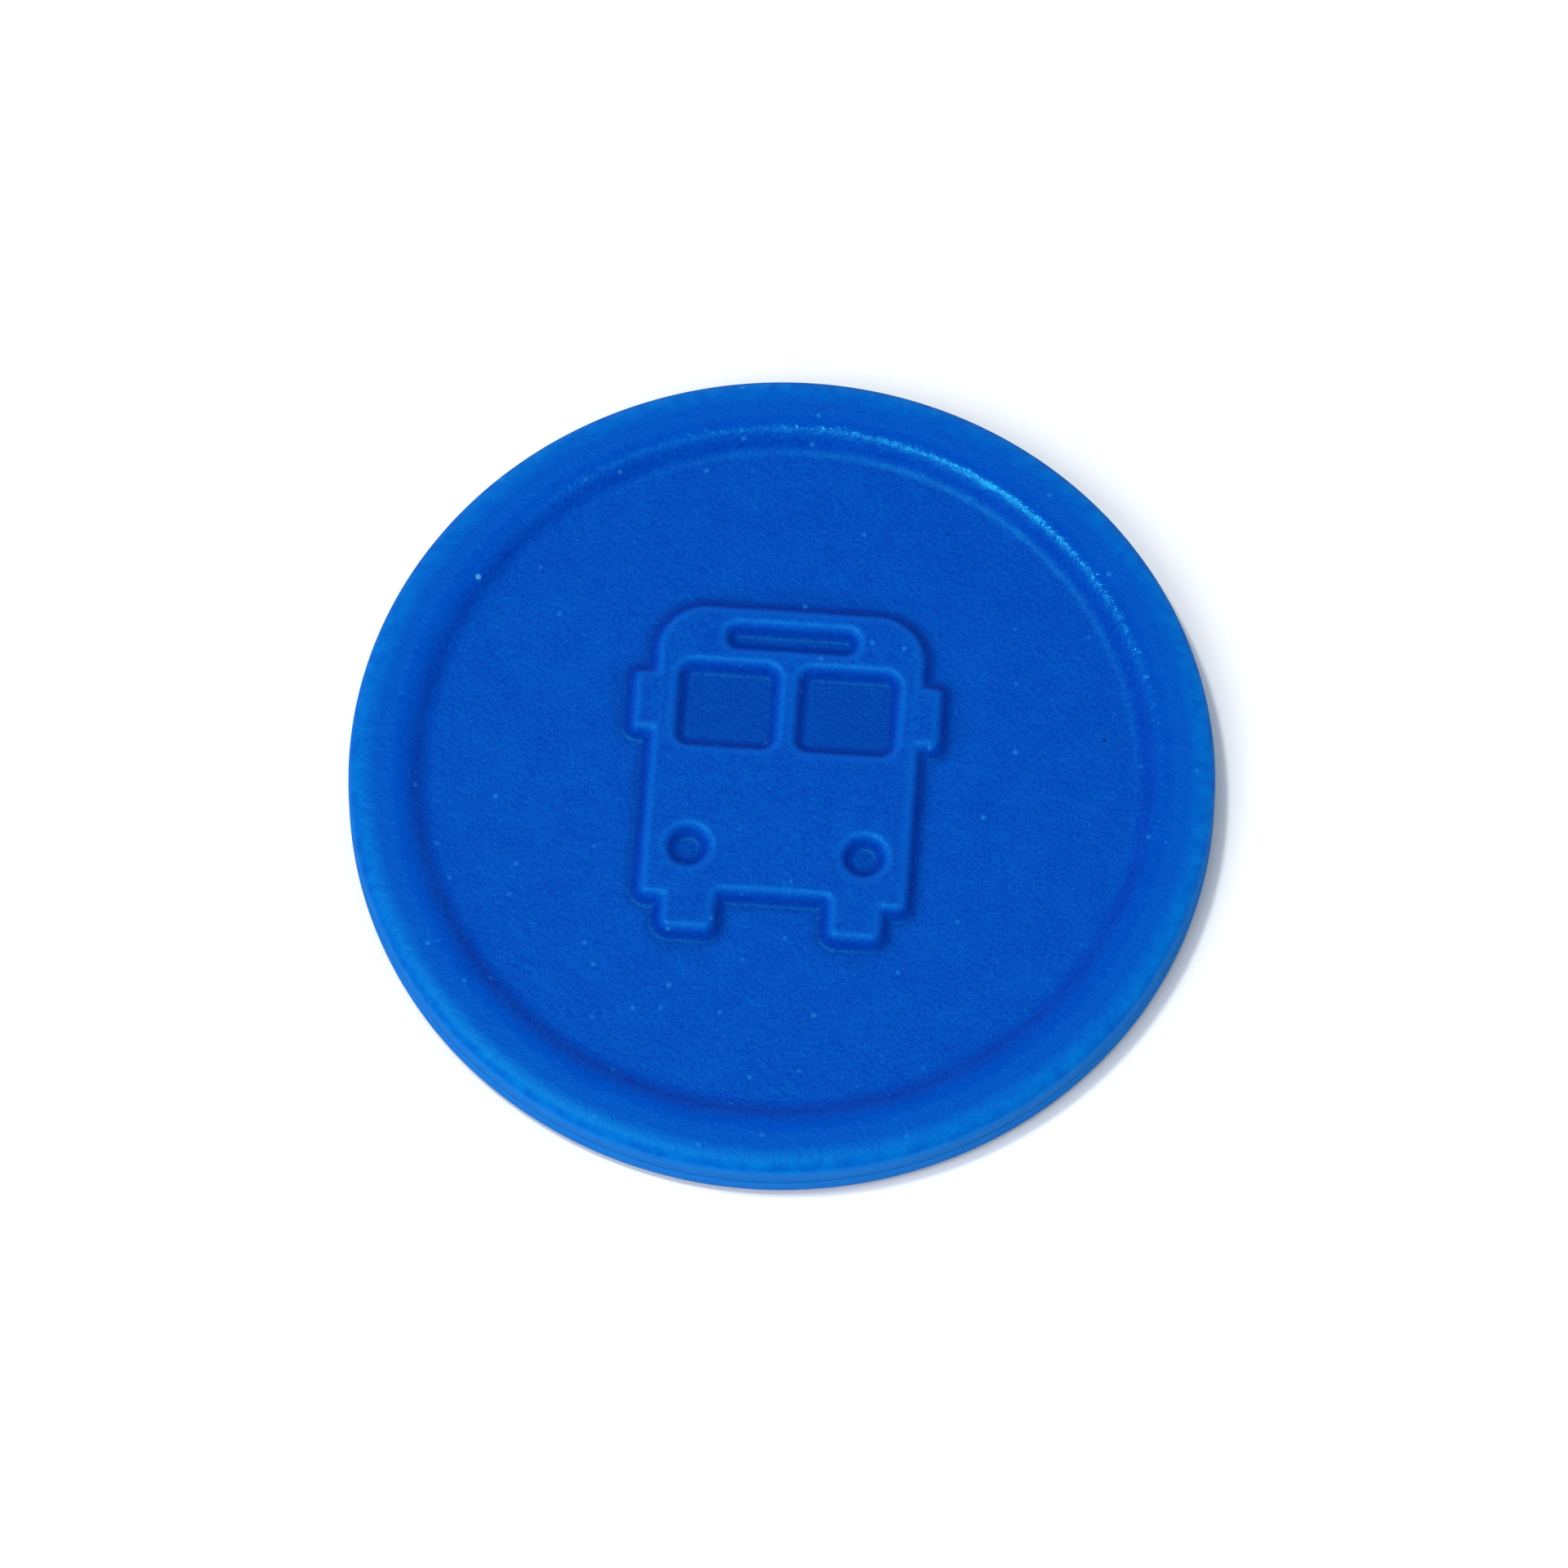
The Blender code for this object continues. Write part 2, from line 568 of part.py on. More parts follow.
def make_inlay(collection):
    """Everything between the shells, from the tape up to the epoxy."""
    make_adhesive(collection)
    make_board(collection)
    outer_via = (OUTER_VIA_X, -LEAD_OFFSET)
    inner_via = (INNER_VIA_X, -LEAD_OFFSET)
    bond_pad = (BOND_PAD_X, -LEAD_OFFSET)
    make_link("crossover_track", outer_via, inner_via, CROSSOVER_Z, collection)
    make_link("return_track", inner_via, bond_pad, COPPER_Z, collection)
    make_antenna_coil(collection)
    make_via("outer_via", OUTER_VIA_X, collection)
    make_via("inner_via", INNER_VIA_X, collection)
    film = finish_of("die_attach_epoxy", (0.55, 0.55, 0.52), 0.5)
    silicon = finish_of("silicon", (0.08, 0.08, 0.1), 0.15, 0.6)
    film_side = DIE_SIDE + 2 * DIE_ATTACH_BORDER
    make_block("die_attach_film", film_side, DIE_ATTACH_THICKNESS, DIE_ATTACH_Z, collection, film)
    make_block("transponder_die", DIE_SIDE, DIE_THICKNESS, DIE_Z, collection, silicon)
    make_bond_wire("bond_wire_coil", 1, collection)
    make_bond_wire("bond_wire_return", -1, collection)
    make_glob_top(collection)


def main():
    collection, cutters = start_empty()
    make_front_shell(collection, cutters)
    make_back_shell(collection, cutters)
    make_inlay(collection)


main()
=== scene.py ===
# %% [markdown]
# # A blue contactless transit token
#
# A fare token is a plastic disc of coin size. This one is two ABS shells, moulded in cobalt
# blue and welded at the waist round a thin board with an antenna coil and a chip. The lesson
# loads the working model, then gives every piece the surface and the finish of the real thing.
# Lengths are in metres, and Z is the token's own axis.

# %% Load the working model
from math import atan, cos, pi, radians, sin

import bpy
import numpy as np
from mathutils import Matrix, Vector


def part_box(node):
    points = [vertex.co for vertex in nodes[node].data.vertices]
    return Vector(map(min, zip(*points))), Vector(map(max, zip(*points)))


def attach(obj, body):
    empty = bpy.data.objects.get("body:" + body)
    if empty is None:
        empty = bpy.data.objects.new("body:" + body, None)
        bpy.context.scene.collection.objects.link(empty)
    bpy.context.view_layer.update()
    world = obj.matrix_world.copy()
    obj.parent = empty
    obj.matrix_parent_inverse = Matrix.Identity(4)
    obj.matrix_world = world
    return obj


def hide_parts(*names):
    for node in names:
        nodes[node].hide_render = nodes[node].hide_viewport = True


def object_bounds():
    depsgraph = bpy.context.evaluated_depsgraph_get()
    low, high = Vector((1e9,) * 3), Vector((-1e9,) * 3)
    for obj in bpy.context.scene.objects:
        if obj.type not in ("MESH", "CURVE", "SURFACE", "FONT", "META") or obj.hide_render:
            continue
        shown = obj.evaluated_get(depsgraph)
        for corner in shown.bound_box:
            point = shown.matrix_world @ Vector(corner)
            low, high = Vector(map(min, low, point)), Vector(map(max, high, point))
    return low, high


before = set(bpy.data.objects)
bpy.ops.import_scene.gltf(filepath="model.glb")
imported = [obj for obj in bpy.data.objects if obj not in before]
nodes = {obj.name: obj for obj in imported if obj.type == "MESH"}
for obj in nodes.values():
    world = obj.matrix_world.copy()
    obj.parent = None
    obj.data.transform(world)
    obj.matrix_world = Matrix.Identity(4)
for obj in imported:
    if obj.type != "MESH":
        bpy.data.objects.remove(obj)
cad_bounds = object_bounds()
MM = 0.001
print("pieces in the working model:", sorted(nodes))

# %% [markdown]
# ## Sizes
#
# The overall sizes are read from the working model's boxes, so the surfaces made here keep to
# it. Sizes that no box can give, such as the width of the rim's flat, are named here once and
# are the same as in the working model.

# %% Read the shared sizes and name the others
RADIUS = cad_bounds[1].x
THICKNESS = cad_bounds[1].z
RIM_HEIGHT = 0.42 * MM        # rim above the field
RIM_FLAT = 0.52 * MM          # flat top of the rim
SHOULDER = 0.74 * MM          # upper, outward-curved part of the fall to the field
FOOT = 0.52 * MM              # lower, hollow part of the fall
EDGE_WIDTH = 1.10 * MM        # crowned outer edge, along the radius
EDGE_DROP = 0.50 * MM         # crowned outer edge, along the axis
EDGE_POWER = 3.0              # 2 is an ellipse, more keeps level for longer and turns down later
RIM_OUTER = RADIUS - EDGE_WIDTH
RIM_INNER = RIM_OUTER - RIM_FLAT
FIELD_RADIUS = RIM_INNER - SHOULDER - FOOT
print(f"token {2 * RADIUS / MM:.1f} mm across, {THICKNESS / MM:.1f} mm thick")
print(f"flat field out to {FIELD_RADIUS / MM:.2f} mm, rim's flat from {RIM_INNER / MM:.2f} mm")

# %% [markdown]
# ## The camera
#
# The token lies on a table and is looked down on steeply, from a long way off compared with
# its size, so its circle shows as an ellipse with almost no perspective. A long lens does
# that. The camera stands a few degrees to one side, which turns the emblem a little.

# %% Set up the camera
FRAME_WIDTH = 54.3 * MM       # how wide the frame is, at the token
CAMERA_DISTANCE = 0.60
CAMERA_AZIMUTH = radians(4.1)
CAMERA_ELEVATION = radians(66.2)
SENSOR = 36.0                 # width in millimetres, as a camera states it
NEAREST = 0.01                # nothing closer than this is drawn
AIM_SHIFT = np.array([0.08, -0.05, 0.0]) * MM     # the token lies a hair off the frame's middle


def direction(azimuth, elevation):
    """Unit vector towards a place round the token: azimuth 0 is -Y, 90 degrees is +X."""
    level = cos(elevation)
    return np.array([sin(azimuth) * level, -cos(azimuth) * level, sin(elevation)])


def aim(item, place, target):
    """Put a camera or a light at a place and turn its -Z axis to the target."""
    item.location = place
    item.rotation_euler = (Vector(target) - Vector(place)).to_track_quat("-Z", "Y").to_euler()


middle = np.array([0.0, 0.0, THICKNESS / 2])
camera_data = bpy.data.cameras.new("camera")
camera_data.sensor_width = SENSOR
camera_data.lens = SENSOR * CAMERA_DISTANCE / FRAME_WIDTH
camera_data.clip_start = NEAREST
camera = bpy.data.objects.new("camera", camera_data)
bpy.context.scene.collection.objects.link(camera)
seen = middle + AIM_SHIFT
aim(camera, seen + CAMERA_DISTANCE * direction(CAMERA_AZIMUTH, CAMERA_ELEVATION), seen)
bpy.context.scene.camera = camera
print(f"lens {camera_data.lens:.0f} mm")

# %% [markdown]
# ## The emblem as a distance
#
# The raised pictogram is the front of a bus: a body with mirrors and wheels, a windscreen in
# two panes, a sign box and two lamps. A mould cutter leaves no square edges, so its sides lean
# and its edges are round. Both come for free when the outline is kept as a signed distance:
# the height is then one smooth function of how far a point lies inside or outside.

# %% Sizes of the pictogram, in millimetres
BUS_SIDE = 4.7
BUS_TOP, BUS_SKIRT, BUS_UNDERSIDE = 6.2, -5.0, -4.7
ROOF_ROUND, SKIRT_ROUND, ROOT_ROUND = 1.8, 0.35, 0.15
WHEEL_IN, WHEEL_OUT, WHEEL_LOW, WHEEL_ROUND = 1.9, 3.9, -6.2, 0.4
MIRROR_OUT, MIRROR_LOW, MIRROR_HIGH, MIRROR_ROUND = 5.4, 1.2, 3.6, 0.3
PANE_IN, PANE_OUT, PANE_LOW, PANE_HIGH, PANE_ROUND = 0.4, 3.75, 0.9, 3.9, 0.45
SIGN_OUT, SIGN_LOW, SIGN_HIGH, SIGN_ROUND = 2.2, 4.65, 5.4, 0.33
LAMP_X, LAMP_Y, LAMP_RADIUS = 3.05, -3.0, 0.65
OVERLAP = 0.7                 # how far the wheels and mirrors reach into the body
print(f"pictogram {2 * MIRROR_OUT:.1f} x {BUS_TOP - WHEEL_LOW:.1f} mm")


# %% Distance functions
def rounded_box(x, y, left, right, bottom, top, corner_round, top_round=None):
    """Distance to a box with round corners, below zero inside.

    Fold the plane onto one corner, take the distance to the box shrunk by the corner's
    radius, and grow it back. top_round gives the upper corners a radius of their own.
    """
    upper = corner_round if top_round is None else top_round
    corner = np.where(y > (bottom + top) / 2, upper, corner_round)
    dx = np.abs(x - (left + right) / 2) - (right - left) / 2 + corner
    dy = np.abs(y - (bottom + top) / 2) - (top - bottom) / 2 + corner
    outside = np.hypot(np.maximum(dx, 0), np.maximum(dy, 0))
    return outside + np.minimum(np.maximum(dx, dy), 0) - corner


def melt(a, b, reach):
    """Union of two shapes with a small round in the corner between them."""
    share = np.clip(0.5 + 0.5 * (b - a) / reach, 0, 1)
    return b + (a - b) * share - reach * share * (1 - share)


def bus_distance(x, y):
    """Distance to the pictogram's outline, in millimetres, below zero on the raised part.

    The right half is folded over, so wheels, mirrors, panes and lamps are each made once.
    """
    x = np.abs(x)
    body = rounded_box(x, y, -BUS_SIDE, BUS_SIDE, BUS_SKIRT, BUS_TOP, SKIRT_ROUND, ROOF_ROUND)
    gap = rounded_box(x, y, -WHEEL_IN, WHEEL_IN, WHEEL_LOW, BUS_UNDERSIDE, ROOT_ROUND)
    wheel = rounded_box(x, y, WHEEL_IN, WHEEL_OUT, WHEEL_LOW, BUS_SKIRT + OVERLAP, WHEEL_ROUND)
    mirror_in = BUS_SIDE - OVERLAP
    mirror = rounded_box(x, y, mirror_in, MIRROR_OUT, MIRROR_LOW, MIRROR_HIGH, MIRROR_ROUND)
    solid = melt(melt(np.maximum(body, -gap), wheel, ROOT_ROUND), mirror, ROOT_ROUND)
    pane = rounded_box(x, y, PANE_IN, PANE_OUT, PANE_LOW, PANE_HIGH, PANE_ROUND)
    sign = rounded_box(x, y, -SIGN_OUT, SIGN_OUT, SIGN_LOW, SIGN_HIGH, SIGN_ROUND)
    lamp = np.hypot(x - LAMP_X, y - LAMP_Y) - LAMP_RADIUS
    return np.maximum(solid, -np.minimum(np.minimum(pane, sign), lamp))


# %% [markdown]
# ## One shell's outer face
#
# The face is one sheet of three parts that share their points. A fine square grid holds the
# emblem. A few rings lead from that grid's border out to the circle where the field ends. Then
# a turned profile goes up the fall, over the rim, round the edge and down the side. Every ring
# has as many points as the grid's border, so the rings are rows of one array.

# %% A fall with a crowned shoulder and a hollow foot
def fall(run, drop, shoulder, foot):
    """Height above the foot, at a level distance run from where the shoulder starts.

    Both parts are arcs of a circle. They meet at the steepest angle, which is twice the angle
    of the straight line from end to end. Outside the fall the height is level.
    """
    steepest = 2 * atan(drop / (shoulder + foot))
    crown, hollow = shoulder / sin(steepest), foot / sin(steepest)
    down = np.clip(run, 0, shoulder)
    left = np.clip(shoulder + foot - run, 0, foot)
    upper = drop - crown + np.sqrt(crown ** 2 - down ** 2)
    return np.where(run < shoulder, upper, hollow - np.sqrt(hollow ** 2 - left ** 2))


# %% Profile of the rim
FALL_ROWS, FLAT_ROWS, EDGE_ROWS = 26, 4, 18


def rim_profile(side_end):
    """(radius, height) rows from the field's end to the seam, face up and zero at the rim's top.

    The fall, the rim's level top, the outer edge, and the side straight down to side_end. The
    edge is a quarter superellipse: sine and cosine to the power of two over EDGE_POWER.
    """
    run = np.linspace(SHOULDER + FOOT, 0, FALL_ROWS + 1)
    slope = np.stack([RIM_INNER - run, fall(run, RIM_HEIGHT, SHOULDER, FOOT) - RIM_HEIGHT], 1)
    level = np.linspace(RIM_INNER, RIM_OUTER, FLAT_ROWS + 1)[1:]
    flat = np.stack([level, np.zeros_like(level)], 1)
    a = np.linspace(0, pi / 2, EDGE_ROWS + 1)[1:]
    out = np.sin(a) ** (2 / EDGE_POWER)
    down = 1 - np.maximum(np.cos(a), 0) ** (2 / EDGE_POWER)
    edge = np.stack([RIM_OUTER + EDGE_WIDTH * out, -EDGE_DROP * down], 1)
    side = np.array([[RADIUS, (side_end - EDGE_DROP) / 2], [RADIUS, side_end]])
    return np.concatenate([slope, flat, edge, side])


rim_slope = 2 * np.degrees(atan(RIM_HEIGHT / (SHOULDER + FOOT)))
print(f"the fall is {rim_slope:.0f} degrees at its steepest")

# %% [markdown]
# A moulding is never quite flat. As it cools it sinks by a few microns, more where it is
# thick, and the pull of the sinks shows as a slow wander of the light over the face. A sum of
# a few long sine waves gives that, and it only ever lowers the surface.

# %% Sink of the moulded face
SINK_DEPTH = 0.005 * MM
SINK_WAVES = 9
SINK_SHORTEST, SINK_LONGEST = 2.2 * MM, 9.0 * MM


def sink(x, y, seed):
    """Depth below the ideal face: waves of random heading, length and phase, brought to 0..1."""
    random = np.random.default_rng(seed)
    total = np.zeros_like(x)
    for _ in range(SINK_WAVES):
        heading, phase = random.uniform(0, 2 * pi, 2)
        length = random.uniform(SINK_SHORTEST, SINK_LONGEST)
        total += np.sin(2 * pi * (x * cos(heading) + y * sin(heading)) / length + phase)
    return SINK_DEPTH * (0.5 + 0.5 * total / SINK_WAVES)


# %% Small helpers for arrays and meshes
SHARP = radians(50)           # edges that turn by more than this stay crisp


def smooth(share):
    """0 to 1 with level ends: three shares squared less two shares cubed."""
    share = np.clip(share, 0, 1)
    return share * share * (3 - 2 * share)


def on_circle(angle):
    """Points (x, y) on the unit circle, a row for each angle."""
    return np.stack([np.cos(angle), np.sin(angle)], 1)


def rows_of_four(a, b, c, d):
    """Four arrays of point numbers as rows of four."""
    return np.stack([a.ravel(), b.ravel(), c.ravel(), d.ravel()], 1)


def between_rings(near, far):
    """Quads between rows of point numbers, where each row is a ring that closes on itself."""
    return rows_of_four(near, far, np.roll(far, -1, 1), np.roll(near, -1, 1))


def fan(ring, pole):
    """Triangles that close the far side of a ring of point numbers with one more point."""
    return np.stack([ring, np.full_like(ring, pole), np.roll(ring, -1)], 1)


def make_piece(name, points, quads, triangles=None):
    """Put arrays of points, quads and triangles into a new smooth-shaded mesh object."""
    triangles = np.empty((0, 3), int) if triangles is None else triangles
    loops = np.concatenate([quads.ravel(), triangles.ravel()]).astype(np.int32)
    sizes = np.concatenate([np.full(len(quads), 4), np.full(len(triangles), 3)])
    starts = np.concatenate([[0], np.cumsum(sizes)[:-1]]).astype(np.int32)
    mesh = bpy.data.meshes.new(name)
    mesh.vertices.add(len(points))
    mesh.vertices.foreach_set("co", np.asarray(points, np.float32).ravel())
    mesh.loops.add(len(loops))
    mesh.loops.foreach_set("vertex_index", loops)
    mesh.polygons.add(len(sizes))
    mesh.polygons.foreach_set("loop_start", starts)
    mesh.update(calc_edges=True)
    mesh.validate()
    mesh.shade_smooth()
    mesh.set_sharp_from_angle(angle=SHARP)
    item = bpy.data.objects.new(name, mesh)
    bpy.context.scene.collection.objects.link(item)
    print(f"{name}: {len(points)} points, {2 * len(quads) + len(triangles)} triangles")
    return item


# %% Sizes of the sheet
GRID_STEP = 0.062 * MM
GRID_HALF_X, GRID_HALF_Y = 5.85 * MM, 6.65 * MM
LEAD_ROWS = 7                 # rings between the grid and the field's end
EMBLEM_HEIGHT = 0.36 * MM
EMBLEM_SHOULDER = 0.42 * MM   # crowned part of the emblem's leaning side
EMBLEM_FOOT = 0.24 * MM       # hollow part
EMBLEM_INSET = 0.36 * MM      # how far inside the outline the side starts to fall
emblem_slope = 2 * np.degrees(atan(EMBLEM_HEIGHT / (EMBLEM_SHOULDER + EMBLEM_FOOT)))
print(f"the emblem's side is {emblem_slope:.0f} degrees at its steepest")

# %% Painted shade and painted highlight, which the finish will read
PAINTED_SHADE_MIDDLE, PAINTED_SHADE_REACH = 0.26, 0.20        # mm outside the outline, where painted shade darkens the emblem's foot
OPENING_PAINTED_SHADE = 0.75          # painted shade on the openings' floors
PAINTED_HIGHLIGHT_MIDDLE, PAINTED_HIGHLIGHT_REACH = -0.22, 0.13           # mm, so inside it, where a painted highlight lightens the edge


def face_marks(x, y):
    """Painted shade and painted highlight at a place of the face, each 0 to 1, from its place
    in millimetres.

    Painted shade lies in a bell-shaped band along the foot of the emblem, and over the openings'
    floors. The painted highlight is a bell-shaped band along its upper edge.
    """
    distance = bus_distance(x, y)
    band = np.exp(-((distance - PAINTED_SHADE_MIDDLE) / PAINTED_SHADE_REACH) ** 2)
    among_openings = (np.abs(x) < PANE_OUT) & (y > LAMP_Y - LAMP_RADIUS) & (y < SIGN_HIGH)
    painted_shade = np.maximum(band, OPENING_PAINTED_SHADE * among_openings * smooth(distance / PAINTED_SHADE_MIDDLE))
    return np.stack([painted_shade, np.exp(-((distance - PAINTED_HIGHLIGHT_MIDDLE) / PAINTED_HIGHLIGHT_REACH) ** 2)], -1)


# %% Build the sheet
def border_order(columns, rows):
    """Numbers of the grid's border points, once round counter-clockwise from the lower left."""
    number = np.arange(rows * columns).reshape(rows, columns)
    return np.concatenate([number[0, :-1], number[:-1, -1], number[-1, :0:-1], number[:0:-1, 0]])


def shell_arrays(inner_profile, side_end, seed):
    """Points, quads, triangles and marks of a closed shell, face up, its rim's top at zero.

    Square grid, lead rings, rim profile, then the inner profile back to a point on the axis.
    """
    xs = np.linspace(-GRID_HALF_X, GRID_HALF_X, 2 * round(GRID_HALF_X / GRID_STEP) + 1)
    ys = np.linspace(-GRID_HALF_Y, GRID_HALF_Y, 2 * round(GRID_HALF_Y / GRID_STEP) + 1)
    gx, gy = np.meshgrid(xs, ys)
    run = bus_distance(gx / MM, gy / MM) * MM + EMBLEM_INSET
    raised = fall(run, EMBLEM_HEIGHT, EMBLEM_SHOULDER, EMBLEM_FOOT)
    grid = np.stack([gx, gy, raised - RIM_HEIGHT], 2).reshape(-1, 3)
    border = border_order(len(xs), len(ys))
    edge = grid[border]
    circle = on_circle(np.arctan2(edge[:, 1], edge[:, 0]))

    share = np.linspace(0, 1, LEAD_ROWS + 2)[1:-1, None, None]
    lead_xy = edge[None, :, :2] * (1 - share) + FIELD_RADIUS * circle[None] * share
    lead = np.concatenate([lead_xy, np.full(lead_xy.shape[:2] + (1,), -RIM_HEIGHT)], 2)
    outer = rim_profile(side_end)
    profile = np.concatenate([outer, inner_profile])
    turned_xy = profile[:, 0, None, None] * circle[None]
    turned_z = np.broadcast_to(profile[:, 1, None, None], turned_xy.shape[:2] + (1,))
    rings = np.concatenate([lead, np.concatenate([turned_xy, turned_z], 2)])

    points = np.concatenate([grid, rings.reshape(-1, 3), [[0, 0, profile[-1, 1]]]])
    around = len(border)
    face = slice(0, len(grid) + (LEAD_ROWS + len(outer)) * around)
    x, y = points[face, 0], points[face, 1]
    fade = smooth((RADIUS - np.hypot(x, y)) / EDGE_WIDTH)
    points[face, 2] -= fade * sink(x, y, seed)

    number = np.arange(len(grid)).reshape(gx.shape)
    squares = rows_of_four(number[:-1, :-1], number[:-1, 1:], number[1:, 1:], number[1:, :-1])
    ring_numbers = len(grid) + np.arange(len(rings) * around).reshape(len(rings), around)
    ring_numbers = np.concatenate([border[None], ring_numbers])
    quads = np.concatenate([squares, between_rings(ring_numbers[:-1], ring_numbers[1:])])
    marks = np.zeros((len(points), 2))
    marks[:len(grid)] = face_marks(gx / MM, gy / MM).reshape(-1, 2)
    return points, quads, fan(ring_numbers[-1], len(points) - 1), marks


# %% [markdown]
# ## The two shells
#
# Both shells have the same face. Inside, the front one carries a tongue, a cavity and a round
# recess over the chip, and the back one a groove and a floor. The back shell is made face up
# like the front one and then turned over about the Y axis.

# %% Inside of the front shell
SEAM_GAP, SEAM_CHAMFER = 0.04 * MM, 0.03 * MM
WALL_OUTSIDE, TONGUE_WIDTH = 1.1 * MM, 0.6 * MM        # outside the tongue, and its own
WALL = 2.6 * MM               # all of it, from the side to the cavity
TONGUE_OUTER = RADIUS - WALL_OUTSIDE
TONGUE_INNER = TONGUE_OUTER - TONGUE_WIDTH
TONGUE_HEIGHT, TONGUE_CLEARANCE = 0.4 * MM, 0.05 * MM
CAVITY_RADIUS = RADIUS - WALL
COIL_HEADROOM = 0.07 * MM     # from the copper to the ceiling
RELIEF_MARGIN, RELIEF_CLEARANCE = 0.3 * MM, 0.04 * MM     # round the epoxy drop, and over it
CONTACT_GAP = 0.03 * MM       # kept between pieces that rest on or are bonded to each other

coil_low, coil_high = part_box("antenna_coil")
glob_low, glob_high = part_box("glob_top")
ceiling = coil_high.z + COIL_HEADROOM
relief_radius = glob_high.x + RELIEF_MARGIN
relief_top = glob_high.z + RELIEF_CLEARANCE
front_land = THICKNESS / 2 + SEAM_GAP / 2
front_inside = np.array([
    [RADIUS - SEAM_CHAMFER, front_land],
    [TONGUE_OUTER, front_land],
    [TONGUE_OUTER, front_land - TONGUE_HEIGHT],
    [TONGUE_INNER, front_land - TONGUE_HEIGHT],
    [TONGUE_INNER, front_land],
    [CAVITY_RADIUS, front_land],
    [CAVITY_RADIUS, ceiling],
    [relief_radius, ceiling],
    [relief_radius, relief_top],
])
front_inside[:, 1] -= THICKNESS
side_end = front_land + SEAM_CHAMFER - THICKNESS
points, quads, triangles, front_marks = shell_arrays(front_inside, side_end, seed=3)
points[:, 2] += THICKNESS
front = make_piece("front_shell_moulding", points, quads, triangles)

# %% Inside of the back shell
back_land = THICKNESS / 2 - SEAM_GAP / 2
groove_floor = front_land - TONGUE_HEIGHT - TONGUE_CLEARANCE
floor_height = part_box("adhesive_ring")[0].z - CONTACT_GAP
back_inside = np.array([
    [RADIUS - SEAM_CHAMFER, back_land],
    [TONGUE_OUTER + TONGUE_CLEARANCE, back_land],
    [TONGUE_OUTER + TONGUE_CLEARANCE, groove_floor],
    [TONGUE_INNER - TONGUE_CLEARANCE, groove_floor],
    [TONGUE_INNER - TONGUE_CLEARANCE, back_land],
    [CAVITY_RADIUS, back_land],
    [CAVITY_RADIUS, floor_height],
])
back_inside[:, 1] *= -1
points, quads, triangles, back_marks = shell_arrays(back_inside, SEAM_CHAMFER - back_land, seed=8)
points = points * np.array([-1, 1, -1])       # half a turn about Y
back = make_piece("back_shell_moulding", points, quads, triangles)

# %% Give both shells their marks and put them in the nodes' places
# The two values kept on the points are painted shade and a painted highlight.
for piece, node, marks in ((front, "front_shell", front_marks), (back, "back_shell", back_marks)):
    for name, values in zip(("painted_shade", "painted_highlight"), marks.T.copy()):
        piece.data.attributes.new(name, "FLOAT", "POINT").data.foreach_set("value", values)
    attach(piece, "root")
    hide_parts(node)
    print(f"{piece.name}: grime on {(marks[:, 0] > 0.5).sum()} points")

# %% [markdown]
# ## Tracks and wires
#
# Inside, the aerial is a flat spiral etched out of copper foil. Etching eats sideways as well
# as down, so each track is narrower at its outer face than against the board. Two short tracks
# bring the outer end back to the chip, one of them below the board. Tracks and bond wires are
# the same kind of surface: a section carried along a path.

# %% A section carried along a path
def closed_tube(rings, start, end):
    """Points, quads and triangles of rings of points in a row, closed by a fan at either end."""
    number = np.arange(rings.shape[0] * rings.shape[1]).reshape(rings.shape[:2])
    points = np.concatenate([rings.reshape(-1, 3), [start, end]])
    fans = [fan(number[0][::-1], len(points) - 2), fan(number[-1], len(points) - 1)]
    return points, between_rings(number[:-1], number[1:]), np.concatenate(fans)


def swept(path, sections):
    """Points, quads and triangles of a closed solid carried along a path of (x, y, z) points.

    Each section is a ring of (across, up) offsets: across is level and to the right of the
    path, up is Z. The two end rings are closed by fans to their own middles.
    """
    run = np.gradient(path[:, :2], axis=0)
    run /= np.linalg.norm(run, axis=1)[:, None]
    right = np.stack([run[:, 1], -run[:, 0], np.zeros(len(run))], 1)
    up = np.array([0.0, 0.0, 1.0])
    rings = path[:, None] + sections[..., :1] * right[:, None] + sections[..., 1:] * up
    return closed_tube(rings, rings[0].mean(0), rings[-1].mean(0))


# %% Sizes of the inlay
COIL_TURNS, COIL_PITCH = 7, 0.5 * MM
TRACK_WIDTH, LAND_RADIUS = 0.24 * MM, 0.30 * MM
TRACK_TIP = 0.05 * MM         # half width where a round land begins
ETCH_BACK = 0.018 * MM        # how much narrower each side is at the outer face
KNEE_IN, KNEE_UP = 1 / 3, 0.7     # a side's knee: share of that lean, at a share of the height
TRACK_STEP = 0.12 * MM
CORNER_STEPS = 5              # steps over which a corner is rounded
LAND_ROWS = 9                 # points that round the end of a land
copper_low, copper_high = coil_low.z, coil_high.z
outer_via = sum(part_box("outer_via"), Vector()) / 2
inner_via = sum(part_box("inner_via"), Vector()) / 2
lead_offset = -outer_via.y
pad_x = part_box("return_track")[0].x + LAND_RADIUS
print(f"copper from {copper_low / MM:.2f} to {copper_high / MM:.2f} mm above the table")


